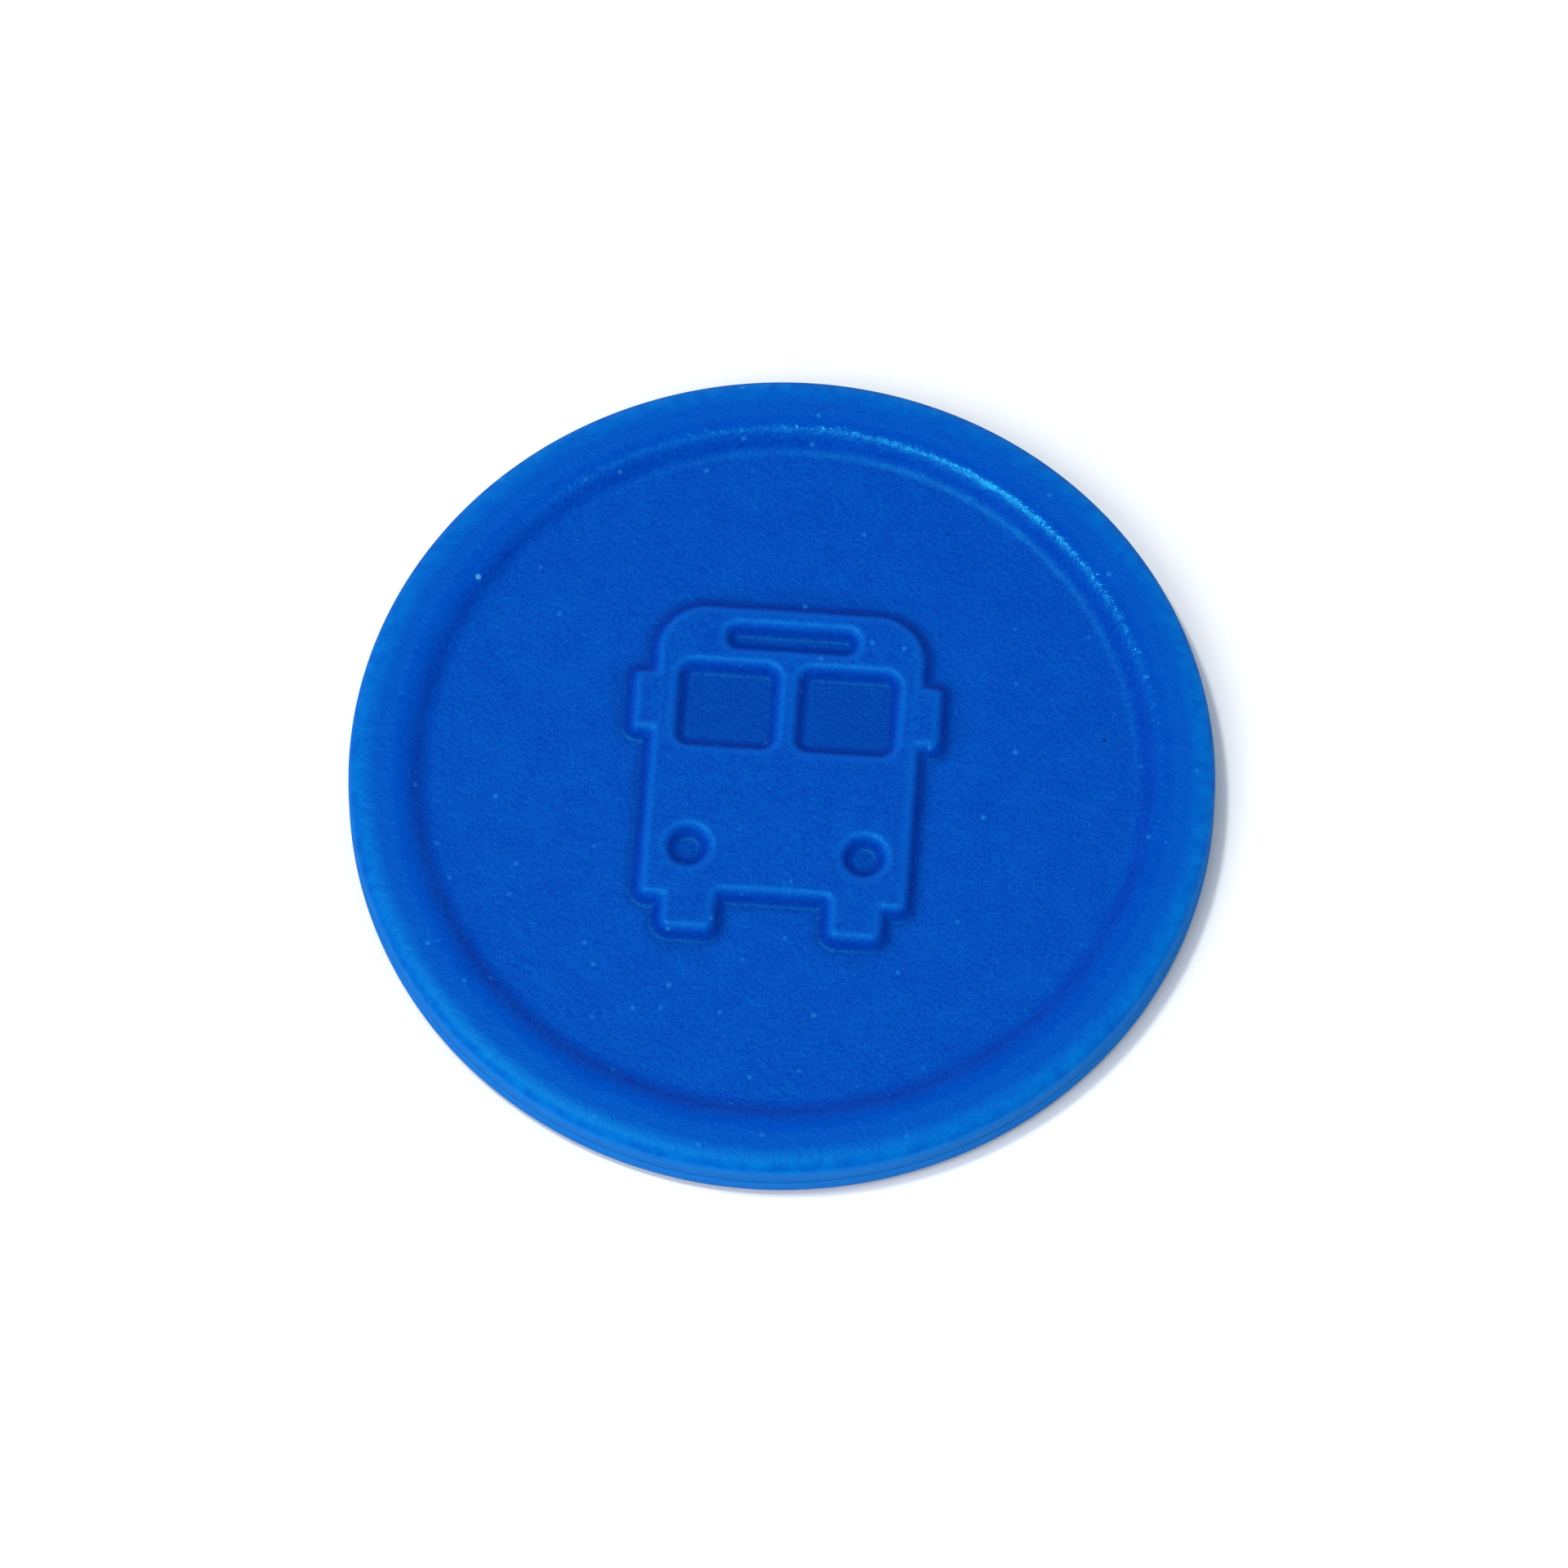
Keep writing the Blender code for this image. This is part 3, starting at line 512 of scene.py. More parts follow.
# %% One etched track
def track_path(line):
    """Distances and (x, y) points along a line of corners, longer by a land's radius at each end.

    The line is cut into equal steps and averaged over a few of them, which rounds its corners.
    Over the lands the distance follows one less the cosine, so their ends come out round.
    """
    ends = np.array([line[0] - line[1], line[-1] - line[-2]])
    ends *= LAND_RADIUS / np.linalg.norm(ends, axis=1)[:, None]
    line = np.concatenate([[line[0] + ends[0]], line, [line[-1] + ends[1]]])
    length = np.append(0, np.cumsum(np.linalg.norm(np.diff(line, axis=0), axis=1)))
    even = np.linspace(0, length[-1], round(length[-1] / TRACK_STEP))
    steps = np.stack([np.interp(even, length, values) for values in line.T], 1)
    window = np.full(CORNER_STEPS, 1 / CORNER_STEPS)
    inner = np.stack([np.convolve(values, window, "valid") for values in steps.T], 1)
    kept = CORNER_STEPS // 2
    steps = np.concatenate([steps[:kept], inner, steps[-kept:]])
    length = np.append(0, np.cumsum(np.linalg.norm(np.diff(steps, axis=0), axis=1)))
    land = LAND_RADIUS * (1 - np.cos(np.linspace(0, pi / 2, LAND_ROWS)))
    between = np.linspace(LAND_RADIUS, length[-1] - LAND_RADIUS, round(length[-1] / TRACK_STEP))
    along = np.concatenate([land, between[1:-1], length[-1] - land[::-1]])
    return along, np.stack([np.interp(along, length, values) for values in steps.T], 1)


def etched_track(name, line, low, high, faces_up=True):
    """A copper track along a line of corners, round at both ends.

    Half width: that of the track, or over a land the height of a circle, whichever is more.
    Section: full width against the board, and sides that lean in towards the outer face.
    """
    along, points = track_path(np.asarray(line))
    from_end = np.minimum(along, along[-1] - along)
    land = np.sqrt(np.maximum(LAND_RADIUS ** 2 - (from_end - LAND_RADIUS) ** 2, 0))
    half = np.where(from_end < LAND_RADIUS, TRACK_TIP, TRACK_WIDTH / 2)
    half = np.maximum(half, land)[:, None]
    thick = high - low
    knee = half - KNEE_IN * ETCH_BACK
    top = half - ETCH_BACK
    across = np.concatenate([-half, half, knee, top, -top, -knee], 1)
    up = np.broadcast_to(np.array([0, 0, KNEE_UP, 1, 1, KNEE_UP]) * thick, across.shape)
    sections = np.stack([across, up], 2)
    if not faces_up:
        sections = sections[:, ::-1] * np.array([1, -1]) + np.array([0, thick])
    path = np.concatenate([points, np.full((len(points), 1), low)], 1)
    return make_piece(name, *swept(path, sections))


# %% The spiral and the two links
coil_outer = np.hypot(outer_via.x, lead_offset)
coil_inner = coil_outer - COIL_TURNS * COIL_PITCH
first_angle = -np.arcsin(lead_offset / coil_outer)
last_angle = COIL_TURNS * 2 * pi + np.arcsin(lead_offset / coil_inner)
turn = np.linspace(0, 1, round((last_angle - first_angle) * coil_outer / TRACK_STEP))
spiral_radius = coil_outer + (coil_inner - coil_outer) * turn
spiral_angle = first_angle + (last_angle - first_angle) * turn
spiral = spiral_radius[:, None] * on_circle(spiral_angle)
coil_line = np.concatenate([spiral, [[pad_x, lead_offset]]])
coil = etched_track("antenna_coil_etched", coil_line, copper_low, copper_high)

return_line = [(inner_via.x, inner_via.y), (pad_x, inner_via.y)]
back_track = etched_track("return_track_etched", return_line, copper_low, copper_high)
under_low, under_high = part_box("crossover_track")
under_line = [(outer_via.x, outer_via.y), (inner_via.x, inner_via.y)]
under_track = etched_track("crossover_track_etched", under_line, under_low.z, under_high.z,
                           faces_up=False)

# %% [markdown]
# Each bond wire starts as a ball that is pressed on the chip, rises a little, and comes down
# to the copper. It is gold, about as thick as a hair.

# %% Bond wires
WIRE_RADIUS, BALL_RADIUS = 0.020 * MM, 0.038 * MM
WIRE_LOOP = 0.03 * MM         # rise above the straight run
WIRE_LEVEL = 0.4              # share of the run before it drops to the board
PAD_INSET = 0.2 * MM          # from the chip's edge to its pad
WIRE_ROWS, WIRE_AROUND = 60, 16
BALL_START = 0.98             # share of the ball's radius where its rings start
TIP_END = 0.95                # share of the far tip's radius where its rings stop
die_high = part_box("transponder_die")[1]


def bond_wire(name, side):
    """A gold wire from the chip's pad to the board's pad; side is 1 or -1 along Y.

    Plan: straight. Height: level, then down as a square, plus half a sine for the loop.
    Radius: the wire's, or the ball's circle round its start, and a round tip at the far end.
    """
    start = np.array([die_high.x - PAD_INSET, side * (die_high.y - PAD_INSET)])
    end = np.array([pad_x, side * lead_offset])
    length = np.linalg.norm(end - start)
    along = np.linspace(-BALL_START * BALL_RADIUS, length, WIRE_ROWS)
    share = np.clip(along / length, 0, 1)
    plan = start + (end - start) * (along / length)[:, None]
    lift = CONTACT_GAP + WIRE_RADIUS
    fall_share = np.maximum(share - WIRE_LEVEL, 0) / (1 - WIRE_LEVEL)
    height = die_high.z + lift + (copper_high - die_high.z) * fall_share ** 2
    height += WIRE_LOOP * np.sin(pi * share)
    ball = np.sqrt(np.maximum(BALL_RADIUS ** 2 - along ** 2, 0))
    tip = np.sqrt(1 - np.clip((along - length + WIRE_RADIUS) / WIRE_RADIUS, 0, TIP_END) ** 2)
    radius = np.maximum(ball, np.where(along < 0, 0, WIRE_RADIUS * tip))
    ring = on_circle(np.linspace(0, 2 * pi, WIRE_AROUND, endpoint=False))
    path = np.concatenate([plan, height[:, None]], 1)
    return make_piece(name, *swept(path, radius[:, None, None] * ring))


wire_coil = bond_wire("bond_wire_coil_drawn", 1)
wire_return = bond_wire("bond_wire_return_drawn", -1)

# %% [markdown]
# ## Turned pieces of the inlay
#
# The plated barrels through the board and the drop of black epoxy over the chip are round.
# The epoxy is let down as a drop and sets where it stops, so it isn't a true circle: its edge
# wanders a little, and only inwards here, so that it keeps clear of the recess over it.

# %% A profile turned about an upright axis
AROUND = 96                   # points in a ring


def turned(profile, centre=(0.0, 0.0), poles=None, edge=None):
    """Points, quads and triangles of a profile of (radius, height) rows turned about an axis.

    The profile runs down its outer side. Without poles it is a ring that closes on itself, and
    with poles, two heights, it starts and ends on the axis. edge scales the radius by angle.
    """
    angle = np.linspace(0, 2 * pi, AROUND, endpoint=False)
    reach = profile[:, 0, None] * (np.ones(AROUND) if edge is None else edge(profile[:, 0], angle))
    level = np.broadcast_to(profile[:, 1, None], reach.shape)[..., None]
    plan = np.array(centre) + reach[..., None] * on_circle(angle)
    rings = np.concatenate([plan, level], 2)
    if poles is not None:
        return closed_tube(rings, (*centre, poles[0]), (*centre, poles[1]))
    number = np.arange(reach.size).reshape(reach.shape)
    return rings.reshape(-1, 3), between_rings(number, np.roll(number, -1, 0))


# %% Plated barrels
VIA_RADIUS, VIA_BORE = 0.18 * MM, 0.09 * MM
VIA_ROUND = 0.02 * MM         # radius of the tube's rounded edges
BEND_ROWS = 5                 # points on each of them


def barrel(name, middle_point):
    """A copper tube: four straight sides whose four corners are quarter circles."""
    low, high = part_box("outer_via")[0].z + VIA_ROUND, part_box("outer_via")[1].z - VIA_ROUND
    outside, bore = VIA_RADIUS - VIA_ROUND, VIA_BORE + VIA_ROUND
    bend = np.linspace(0, pi / 2, BEND_ROWS)
    profile = []
    for x, z, start in ((outside, high, pi / 2), (outside, low, 0),
                        (bore, low, -pi / 2), (bore, high, -pi)):
        profile.append(np.array([x, z]) + VIA_ROUND * on_circle(start - bend))
    return make_piece(name, *turned(np.concatenate(profile), (middle_point.x, middle_point.y)))


barrel_outer = barrel("outer_via_plated", outer_via)
barrel_inner = barrel("inner_via_plated", inner_via)

# %% The drop of epoxy
GLOB_WALL = 0.77 * MM         # epoxy round the chip and its wires
GLOB_SKIN = 0.06 * MM         # epoxy over them
GLOB_EDGE = 0.2               # share of the height that is an upright edge
GLOB_ROWS = 20
GLOB_WANDER = 0.03            # share of the radius that the edge wanders by
GLOB_WAVES = ((2, 1.0, 0.7), (3, 0.7, 2.1), (5, 0.4, 0.0))    # waves round the edge, height, phase
pocket_radius = glob_high.x - GLOB_WALL
pocket_top = glob_high.z - GLOB_SKIN


def glob_edge(radius, angle):
    """Share of the radius that is left: three slow waves round the edge, none in the pocket."""
    wave = sum(height * np.sin(count * angle + phase) for count, height, phase in GLOB_WAVES)
    wave /= sum(height for count, height, phase in GLOB_WAVES)
    share = smooth((radius - pocket_radius) / GLOB_WALL)[:, None]
    return 1 - GLOB_WANDER * share * (0.5 + 0.5 * wave)


slump = np.sin(np.linspace(0, pi / 2, GLOB_ROWS))[1:]
edge_top = glob_low.z + GLOB_EDGE * (glob_high.z - glob_low.z)
dome = edge_top + (glob_high.z - edge_top) * np.sqrt(np.maximum(1 - slump ** 4, 0))
glob_profile = np.concatenate([
    np.stack([glob_high.x * slump, dome], 1),
    [[glob_high.x, glob_low.z], [pocket_radius, glob_low.z], [pocket_radius, pocket_top]],
])
glob_poles = (glob_high.z, pocket_top)
glob = make_piece("glob_top_drop", *turned(glob_profile, poles=glob_poles, edge=glob_edge))

# %% Put the pieces in the nodes' places
stands_for = {
    "antenna_coil": coil, "return_track": back_track, "crossover_track": under_track,
    "outer_via": barrel_outer, "inner_via": barrel_inner, "glob_top": glob,
    "bond_wire_coil": wire_coil, "bond_wire_return": wire_return,
}
for node, piece in stands_for.items():
    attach(piece, "root")
    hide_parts(node)
print("pieces that replace nodes of the inlay:", len(stands_for))

# %% [markdown]
# ## Finish: moulded ABS
#
# The shells are ABS, coloured through with a cobalt blue pigment and moulded in a cavity that
# was spark-eroded fine. That gives an even satin skin with a grain of about a tenth of a
# millimetre, which breaks highlights on the tight curves into small glints. Handling has
# polished the rim's shoulder and rubbed its outer edge a shade lighter. Light and shade are also
# painted into the colour: the shoulder and all outside it lighter than the field, the side
# lighter still, a painted highlight along the emblem's upper edge, painted shade along its foot
# and in its openings, and one pale painted glint on the rim. Grains of dust and one dark speck
# lie on the face.

# %% Helpers for materials
def linear(code):
    """Linear colour from an sRGB hex code."""
    parts = np.array([int(code[i:i + 2], 16) for i in (1, 3, 5)]) / 255
    curved = np.where(parts <= 0.04045, parts / 12.92, ((parts + 0.055) / 1.055) ** 2.4)
    return (*curved.tolist(), 1.0)


def connect(tree, node, sockets):
    """Fill a node's inputs, each with a number, a hex colour, an output to link, or a node.

    A node stands for the first of its outputs that is in use.
    """
    for key, value in sockets.items():
        if isinstance(value, bpy.types.Node):
            value = next(output for output in value.outputs if output.enabled)
        if isinstance(value, bpy.types.NodeSocket):
            tree.links.new(value, node.inputs[key])
        else:
            node.inputs[key].default_value = linear(value) if isinstance(value, str) else value


def add(tree, kind, sockets=None, **settings):
    """Add a node: settings are its properties, and sockets its inputs."""
    node = tree.nodes.new(kind)
    for key, value in settings.items():
        setattr(node, key, value)
    connect(tree, node, sockets or {})
    return node


def new_material(name, **sockets):
    """A material with a Principled shader, its tree, and its Object coordinates."""
    material = bpy.data.materials.new(name)
    material.use_nodes = True
    tree = material.node_tree
    tree.nodes.clear()
    values = {key.replace("_", " "): value for key, value in sockets.items()}
    shader = add(tree, "ShaderNodeBsdfPrincipled", values)
    add(tree, "ShaderNodeOutputMaterial", {"Surface": shader})
    place = add(tree, "ShaderNodeTexCoord").outputs["Object"]
    return material, tree, shader, place


# %% Sizes of the blue ABS's finish
GRAIN, PEEL = 0.16 * MM, 0.36 * MM            # of the eroded skin, fine and coarse
GRAIN_DEPTH, PEEL_DEPTH = 0.02 * MM, 0.032 * MM
PIGMENT_GRAIN = 0.10 * MM     # real pigment is finer, this is as fine as still shows
MOTTLE = 1.3 * MM             # of the soft patches in the body colour
PATCH = 0.5 * MM              # of uneven polish and wear
# This band sets the shoulder's polish, and also paints the shoulder and all outside it a shade
# lighter than the field, as painted light.
POLISH_AND_PAINTED_LIGHT_START, POLISH_AND_PAINTED_LIGHT_END = RIM_INNER - 0.60 * MM, RIM_INNER - 0.15 * MM
MATT_START, MATT_END = RIM_INNER, RIM_INNER + 0.30 * MM
WEAR_START, WEAR_END = RIM_OUTER + 0.15 * MM, RIM_OUTER + 0.85 * MM
# where the side is painted paler, as painted light
SIDE_PAINTED_LIGHT_START, SIDE_PAINTED_LIGHT_END = RADIUS - 0.10 * MM, RADIUS
SATIN, POLISHED = 0.44, 0.20  # roughness of the skin as moulded and of the polished shoulder
UNEVEN = 0.04                 # how far the roughness wanders either way
FACE_HEIGHT = THICKNESS - RIM_HEIGHT
SPECK_PLACE, SPECK_SIZE = (11.05 * MM, 2.14 * MM, FACE_HEIGHT), 0.10 * MM
# a pale spot painted on the rim's shoulder, a painted glint
GLINT_PLACE, GLINT_SIZE = (-11.08 * MM, 6.66 * MM, FACE_HEIGHT + 0.25 * MM), 0.15 * MM
SPOT_CORE = 0.2               # share of a spot's size that has its full colour
DUST_SPACING, DUST_SIZE = 1.2 * MM, 0.12 * MM
NOISE_SPREAD = {"From Min": 0.3, "From Max": 0.7}     # where most values of a noise lie
print(f"polished from {POLISH_AND_PAINTED_LIGHT_START / MM:.2f} mm, worn from {WEAR_START / MM:.2f} mm off the axis")


# %% Colour of the ABS
def abs_colour(tree, place, radius, patch):
    """Two pigment mixes mottled together, and tints that are laid over them one by one."""
    mottle = add(tree, "ShaderNodeTexNoise",
                 {"Vector": place, "Scale": 1 / MOTTLE, "Detail": 4.0, "Roughness": 0.6})
    mottle = add(tree, "ShaderNodeMapRange", {"Value": mottle, "From Min": 0.35, "From Max": 0.65})
    pigment = add(tree, "ShaderNodeTexNoise",
                  {"Vector": place, "Scale": 1 / PIGMENT_GRAIN, "Detail": 2.0})
    pigment = add(tree, "ShaderNodeMapRange",
                  {"Value": pigment, "From Min": 0.25, "From Max": 0.75})
    deep, pale = (add(tree, "ShaderNodeMix", {"Factor": pigment, "A": dark, "B": light},
                      data_type="RGBA")
                  for dark, light in (("#002896", "#0043af"), ("#002e9a", "#0049b5")))
    colour = add(tree, "ShaderNodeMix", {"Factor": mottle, "A": deep, "B": pale}, data_type="RGBA")

    worn = add(tree, "ShaderNodeMapRange",
               {"Value": radius, "From Min": WEAR_START, "From Max": WEAR_END})
    broken = add(tree, "ShaderNodeMapRange",
                 NOISE_SPREAD | {"Value": patch, "To Min": 0.35, "To Max": 0.95})
    wear = add(tree, "ShaderNodeMath", {0: worn, 1: broken}, operation="MULTIPLY")
    painted_highlight, painted_shade = (add(tree, "ShaderNodeAttribute", attribute_name=mark)
                  for mark in ("painted_highlight", "painted_shade"))
    dust = add(tree, "ShaderNodeTexVoronoi", {"Vector": place, "Scale": 1 / DUST_SPACING})
    speck, glint = (add(tree, "ShaderNodeVectorMath", {0: place, 1: spot}, operation="DISTANCE")
                    for spot in (SPECK_PLACE, GLINT_PLACE))
    tints = [                 # what it follows, where it starts and is full, full share, colour
        # painted light: the shoulder, rim, edge and side a shade lighter than the field
        (radius, POLISH_AND_PAINTED_LIGHT_START, POLISH_AND_PAINTED_LIGHT_END, 0.3, "#0052bb"),
        (wear, 0, 1, 1, "#0069c2"),
        # painted light: the side paler still
        (radius, SIDE_PAINTED_LIGHT_START, SIDE_PAINTED_LIGHT_END, 0.6, "#0a80e2"),
        # painted highlight: lighter along the emblem's upper edge
        (painted_highlight.outputs["Fac"], 0, 1, 0.35, "#0a66cc"),
        # painted shade: darker along the emblem's foot and over its openings' floors
        (painted_shade.outputs["Fac"], 0, 1, 0.5, "#001478"),
        (dust.outputs["Distance"], DUST_SIZE / DUST_SPACING, 0, 0.4, "#2f9be0"),
        (speck, SPECK_SIZE, SPOT_CORE * SPECK_SIZE, 1, "#071a40"),
        # painted glint: one pale spot on the rim's shoulder
        (glint, GLINT_SIZE, SPOT_CORE * GLINT_SIZE, 1, "#5cc0ec"),
    ]
    for follows, start, full, most, tint in tints:
        share = add(tree, "ShaderNodeMapRange",
                    {"Value": follows, "From Min": start, "From Max": full, "To Max": most})
        colour = add(tree, "ShaderNodeMix", {"Factor": share, "A": colour, "B": tint},
                     data_type="RGBA")
    return colour


# %% Blue ABS
def moulded_abs():
    """Cobalt blue ABS with a satin grain, and a shoulder of smoother, more broken shine."""
    material, tree, shader, place = new_material(
        "abs_cobalt_spark_eroded", IOR=1.45, Specular_IOR_Level=0.32, Specular_Tint="#3bedff")
    level = add(tree, "ShaderNodeVectorMath", {0: place, 1: (1.0, 1.0, 0.0)}, operation="MULTIPLY")
    radius = add(tree, "ShaderNodeVectorMath", {0: level}, operation="LENGTH")
    patch = add(tree, "ShaderNodeTexNoise", {"Vector": place, "Scale": 1 / PATCH, "Detail": 3.0})

    begins = add(tree, "ShaderNodeMapRange",
                 {"Value": radius, "From Min": POLISH_AND_PAINTED_LIGHT_START, "From Max": POLISH_AND_PAINTED_LIGHT_END})
    ends = add(tree, "ShaderNodeMapRange",
               {"Value": radius, "From Min": MATT_END, "From Max": MATT_START})
    polish = add(tree, "ShaderNodeMath", {0: begins, 1: ends}, operation="MULTIPLY")
    even = add(tree, "ShaderNodeMapRange", {"Value": polish, "To Min": SATIN, "To Max": POLISHED})
    uneven = add(tree, "ShaderNodeMapRange",
                 NOISE_SPREAD | {"Value": patch, "To Min": -UNEVEN, "To Max": UNEVEN})
    rough = add(tree, "ShaderNodeMath", {0: even, 1: uneven}, operation="ADD")

    coarse = add(tree, "ShaderNodeTexNoise", {"Vector": place, "Scale": 1 / PEEL, "Detail": 1.0})
    deeper = add(tree, "ShaderNodeMapRange", {"Value": polish, "To Min": 0.45, "To Max": 0.9})
    coarse = add(tree, "ShaderNodeBump",
                 {"Height": coarse, "Strength": deeper, "Distance": PEEL_DEPTH})
    fine = add(tree, "ShaderNodeTexNoise",
               {"Vector": place, "Scale": 1 / GRAIN, "Detail": 2.0, "Roughness": 0.6})
    fine = add(tree, "ShaderNodeBump",
               {"Height": fine, "Normal": coarse, "Strength": 0.8, "Distance": GRAIN_DEPTH})
    colour = abs_colour(tree, place, radius, patch)
    connect(tree, shader, {"Base Color": colour, "Roughness": rough, "Normal": fine})
    return material


blue_abs = moulded_abs()
for piece in (front, back):
    piece.data.materials.append(blue_abs)
print("finish:", blue_abs.name)

# %% [markdown]
# ## Finish: the metals of the inlay
#
# Copper foil is rolled, so it carries fine lines along the roll and tarnishes in soft patches.
# The barrels are plated, which leaves small nodules and no lines. Gold wire is drawn through a
# die and stays bright. All three are the same few nodes at different sizes.

# %% Copper and gold
TARNISH = 0.6 * MM            # size of the stained patches on copper
GOLD_STAIN = 0.2 * MM
LINE_DEPTH = 0.002 * MM
SMOOTHER, ROUGHER = 0.06, 0.10                # what the lines take off the roughness and add to it
NODULE = 0.02 * MM


def metal(name, clean, stained, rough, grain, stain=TARNISH):
    """A metal with stained patches and a grain, whose size is given along X, Y and Z."""
    material, tree, shader, place = new_material(name, Metallic=1.0)
    size = tuple(1 / length for length in grain)
    stretched = add(tree, "ShaderNodeMapping", {"Vector": place, "Scale": size})
    lines = add(tree, "ShaderNodeTexNoise", {"Vector": stretched, "Scale": 1.0, "Detail": 3.0})
    patches = add(tree, "ShaderNodeTexNoise", {"Vector": place, "Scale": 1 / stain, "Detail": 4.0})
    share = add(tree, "ShaderNodeMapRange", {"Value": patches, "From Min": 0.45, "From Max": 0.75})
    colour = add(tree, "ShaderNodeMix", {"Factor": share, "A": clean, "B": stained},
                 data_type="RGBA")
    dull = add(tree, "ShaderNodeMapRange", NOISE_SPREAD | {
        "Value": lines, "To Min": rough - SMOOTHER, "To Max": rough + ROUGHER})
    marks = add(tree, "ShaderNodeBump", {"Height": lines, "Strength": 0.6, "Distance": LINE_DEPTH})
    connect(tree, shader, {"Base Color": colour, "Roughness": dull, "Normal": marks})
    return material


foil = metal("copper_foil_rolled_etched", clean="#d78b62", stained="#9c5a3c", rough=0.30,
             grain=(0.9 * MM, 0.03 * MM, 0.03 * MM))
plated = metal("copper_electroplated", clean="#dc9469", stained="#a8664a", rough=0.36,
               grain=(NODULE, NODULE, NODULE))
gold = metal("gold_drawn_wire", clean="#f0c060", stained="#d9a548", rough=0.20,
             grain=(0.30 * MM, 0.01 * MM, 0.01 * MM), stain=GOLD_STAIN)
for pieces, material in (((coil, back_track, under_track), foil),
                         ((barrel_outer, barrel_inner), plated), ((wire_coil, wire_return), gold)):
    for piece in pieces:
        piece.data.materials.append(material)
print("metals:", foil.name, plated.name, gold.name)

# %% [markdown]
# ## Finish: epoxy, tape, board and chip
#
# The drop is black epoxy full of ground glass, which gives it a fine, slightly rough skin. The
# tape is clear acrylic adhesive that has taken up tiny bubbles. The board is glass cloth in
# epoxy, and its threads show through as a small plaid. The chip is polished silicon with
# blocks of circuits on it, held by an adhesive full of silver flakes.

# %% Filled epoxy and clear tape
FILLER, BUBBLE, FLAKE = 0.04 * MM, 0.12 * MM, 0.03 * MM
CELL_EDGE, CELL_CORE = 0.45, 0.1              # share of a cell's size where a grain starts, is full
WAVE_LENGTH = 8               # of the soft waviness, in grains


def speckled(name, ground, grains, size, share, rough, relief, **sockets):
    """A resin with grains in it: a cell pattern, its centres tinted, over a soft waviness."""
    material, tree, shader, place = new_material(name, **sockets)
    cells = add(tree, "ShaderNodeTexVoronoi", {"Vector": place, "Scale": 1 / size})
    depth = cells.outputs["Distance"]
    core = add(tree, "ShaderNodeMapRange",
               {"Value": depth, "From Min": CELL_EDGE, "From Max": CELL_CORE, "To Max": share})
    colour = add(tree, "ShaderNodeMix", {"Factor": core, "A": ground, "B": grains},
                 data_type="RGBA")
    waves = add(tree, "ShaderNodeTexNoise",
                {"Vector": place, "Scale": 1 / (WAVE_LENGTH * size), "Detail": 3.0})
    dull = add(tree, "ShaderNodeMapRange", NOISE_SPREAD | {
        "Value": waves, "To Min": rough - 0.05, "To Max": rough + 0.08})
    skin = add(tree, "ShaderNodeBump", {"Height": depth, "Strength": 0.5, "Distance": relief})
    connect(tree, shader, {"Base Color": colour, "Roughness": dull, "Normal": skin})
    return material


black_epoxy = speckled("epoxy_black_glass_filled", ground="#0d0e11", grains="#25272c", size=FILLER,
                       share=0.6, rough=0.34, relief=0.003 * MM)
tape = speckled("acrylic_transfer_tape_clear", ground="#d8d3c4", grains="#f3f1ea", size=BUBBLE,
                share=0.5, rough=0.28, relief=0.004 * MM, IOR=1.47)
film = speckled("epoxy_silver_filled_cured", ground="#8f918f", grains="#dcdcd8", size=FLAKE,
                share=0.8, rough=0.40, relief=0.003 * MM, Metallic=0.5)
print("resins:", black_epoxy.name, tape.name, film.name)

# %% Glass cloth in epoxy
THREAD, THREAD_DEPTH = 0.45 * MM, 0.004 * MM  # from one thread to the next, and their relief
WAVE_TURN = pi / 10           # a wave texture of scale 1 repeats after this length


def glass_epoxy():
    """Warp and weft threads as two sets of bands at right angles, under a layer of epoxy."""
    material, tree, shader, place = new_material("glass_epoxy_laminate_pressed", IOR=1.55)
    bands = {"Vector": place, "Scale": WAVE_TURN / THREAD, "Distortion": 0.4, "Detail": 1.0}
    warp = add(tree, "ShaderNodeTexWave", bands, bands_direction="X")
    weft = add(tree, "ShaderNodeTexWave", bands, bands_direction="Y")
    cloth = add(tree, "ShaderNodeMath", {0: warp.outputs["Fac"], 1: weft.outputs["Fac"]},
                operation="MULTIPLY")
    colour = add(tree, "ShaderNodeMix", {"Factor": cloth, "A": "#8d8648", "B": "#b8b27c"},
                 data_type="RGBA")
    dull = add(tree, "ShaderNodeMapRange", {"Value": cloth, "To Min": 0.34, "To Max": 0.48})
    threads = add(tree, "ShaderNodeBump",
                  {"Height": cloth, "Strength": 0.5, "Distance": THREAD_DEPTH})
    connect(tree, shader, {"Base Color": colour, "Roughness": dull, "Normal": threads})
    return material


laminate = glass_epoxy()
print("board:", laminate.name)

# %% Silicon with its circuits
BLOCK, CELL = 0.16 * MM, 0.025 * MM           # the chip's blocks, and the rows of cells in them


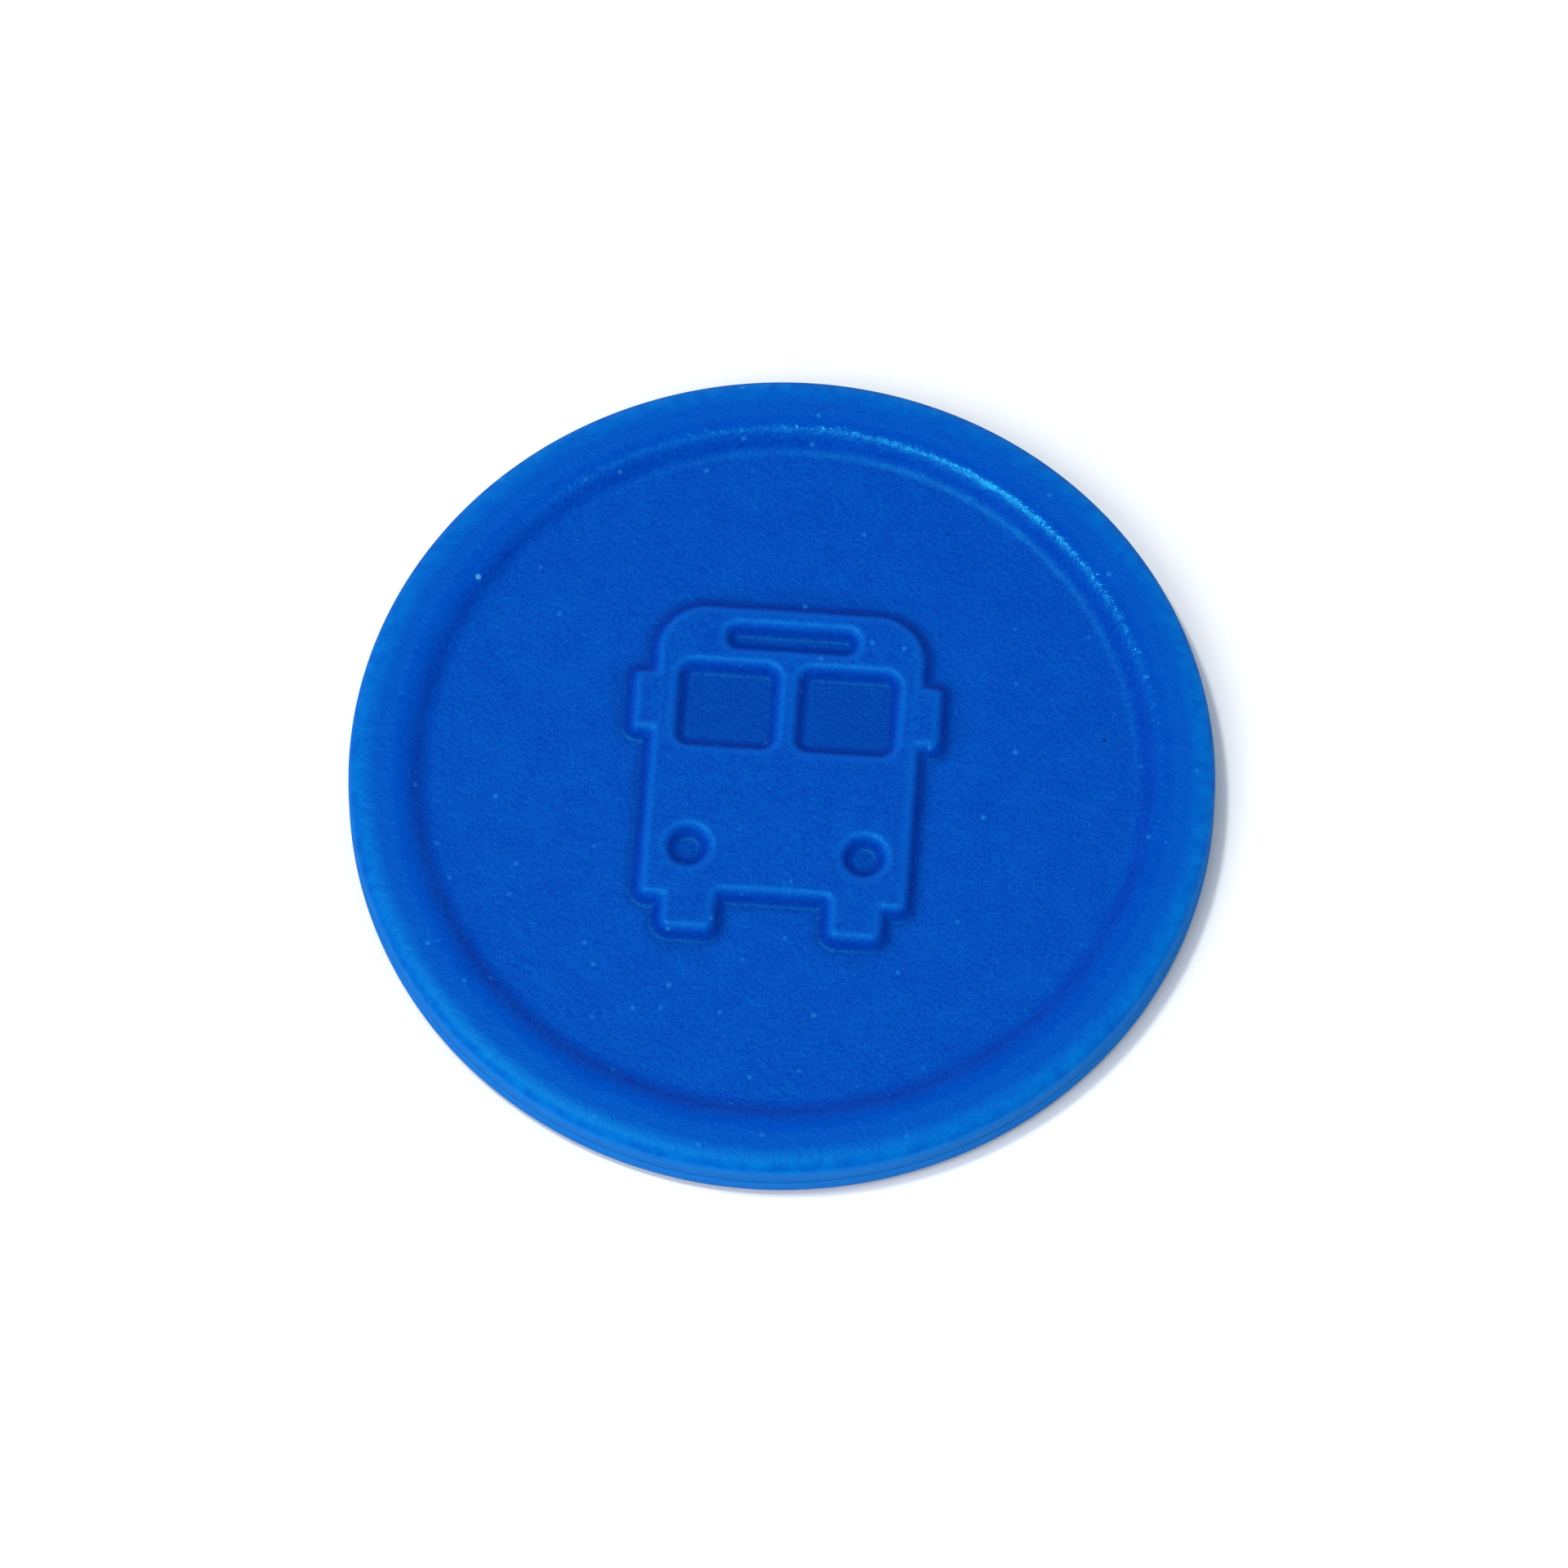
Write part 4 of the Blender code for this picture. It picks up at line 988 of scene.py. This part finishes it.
def silicon():
    """Grey-violet silicon: square-edged blocks of a tint each, crossed by fine rows."""
    material, tree, shader, place = new_material(
        "silicon_polished_passivated", IOR=1.9, Metallic=0.25)
    blocks = add(tree, "ShaderNodeTexVoronoi", {"Vector": place, "Scale": 1 / BLOCK},
                 distance="CHEBYCHEV")
    tint = add(tree, "ShaderNodeSeparateColor", {"Color": blocks.outputs["Color"]})
    rows = add(tree, "ShaderNodeTexWave", {"Vector": place, "Scale": WAVE_TURN / CELL},
               bands_direction="Y")
    share = add(tree, "ShaderNodeMapRange", {"Value": rows.outputs["Fac"], "To Max": 0.35})
    colour = add(tree, "ShaderNodeMix", {"Factor": tint, "A": "#3a3f52", "B": "#6d6480"},
                 data_type="RGBA")
    colour = add(tree, "ShaderNodeMix", {"Factor": share, "A": colour, "B": "#8a9a8c"},
                 data_type="RGBA")
    dull = add(tree, "ShaderNodeMapRange", {"Value": tint, "To Min": 0.12, "To Max": 0.24})
    connect(tree, shader, {"Base Color": colour, "Roughness": dull})
    return material


chip = silicon()
print("chip:", chip.name)

# %% Give the resins, the board and the chip their finishes
glob.data.materials.append(black_epoxy)
for node, material in (("adhesive_ring", tape), ("inlay_board", laminate),
                       ("die_attach_film", film), ("transponder_die", chip)):
    nodes[node].material_slots[0].material = material
    print(f"{node}: {material.name}")

# %% [markdown]
# ## Floor and light
#
# The floor is a plain white card. Most of the light comes evenly from all round. A broad light
# halfway up at the lower left darkens the slopes that face away from it. A small lamp hangs
# nearly overhead, to the left, and its mirror image is the row of glints on the rim. A halo
# widens that row, and a long tube overhead draws it out along the far side.

# %% The card
CARD_HALF = 1.5               # half its side
CARD_GAP = 0.02 * MM          # below the token, so that the two share no plane


def make_floor():
    """A pale card, blue-green to glossy rays alone, so the token's side mirrors no white."""
    x = CARD_HALF * np.array([-1, 1, 1, -1])
    corners = np.stack([x, np.roll(x, 1), np.full(4, -CARD_GAP)], 1)
    floor = make_piece("floor", corners, np.array([[0, 1, 2, 3]]))
    material, tree, shader, _ = new_material(
        "card_white_matt", Roughness=0.9, Specular_IOR_Level=0.2)
    mirrored = add(tree, "ShaderNodeLightPath").outputs["Is Glossy Ray"]
    card = add(tree, "ShaderNodeMix", {"Factor": mirrored, "A": "#f4f4f4", "B": "#1e6f9c"},
               data_type="RGBA")
    connect(tree, shader, {"Base Color": card})
    floor.data.materials.append(material)


make_floor()

# %% The lights
SKY, SKY_STRENGTH = (0.86, 0.97, 1.0, 1.0), 0.42      # a linear colour, just cooler than white


def add_light(name, azimuth, elevation, distance, size, power):
    """A rectangular light of a given width and depth, aimed at the token."""
    data = bpy.data.lights.new(name, "AREA")
    data.shape = "RECTANGLE"
    data.size, data.size_y = size
    data.energy = power
    light = bpy.data.objects.new(name, data)
    bpy.context.scene.collection.objects.link(light)
    aim(light, middle + distance * direction(radians(azimuth), radians(elevation)), middle)
    print(f"{name}: {power} W from {distance} m")
    return light


add_light("lamp", azimuth=-94, elevation=75, distance=0.6, size=(0.06, 0.06), power=1.4)
add_light("tube", azimuth=0, elevation=88, distance=0.6, size=(0.45, 0.05), power=0.6)
halo = add_light("halo", azimuth=-94, elevation=75, distance=0.6, size=(0.075, 0.075), power=1.0)
halo.visible_diffuse = False      # it only widens the lamp's mirror image
broad = add_light("broad", azimuth=-40, elevation=48, distance=0.9, size=(0.6, 0.6), power=4.2)
broad.visible_glossy = False      # it shades the slopes but is not mirrored in them

world = bpy.data.worlds.new("studio")
bpy.context.scene.world = world
world.use_nodes = True
background = world.node_tree.nodes["Background"]
background.inputs["Color"].default_value = SKY
background.inputs["Strength"].default_value = SKY_STRENGTH
bpy.context.scene.view_settings.view_transform = "Standard"

# %% Print the working model's box
print("cad box", [list(v) for v in cad_bounds])
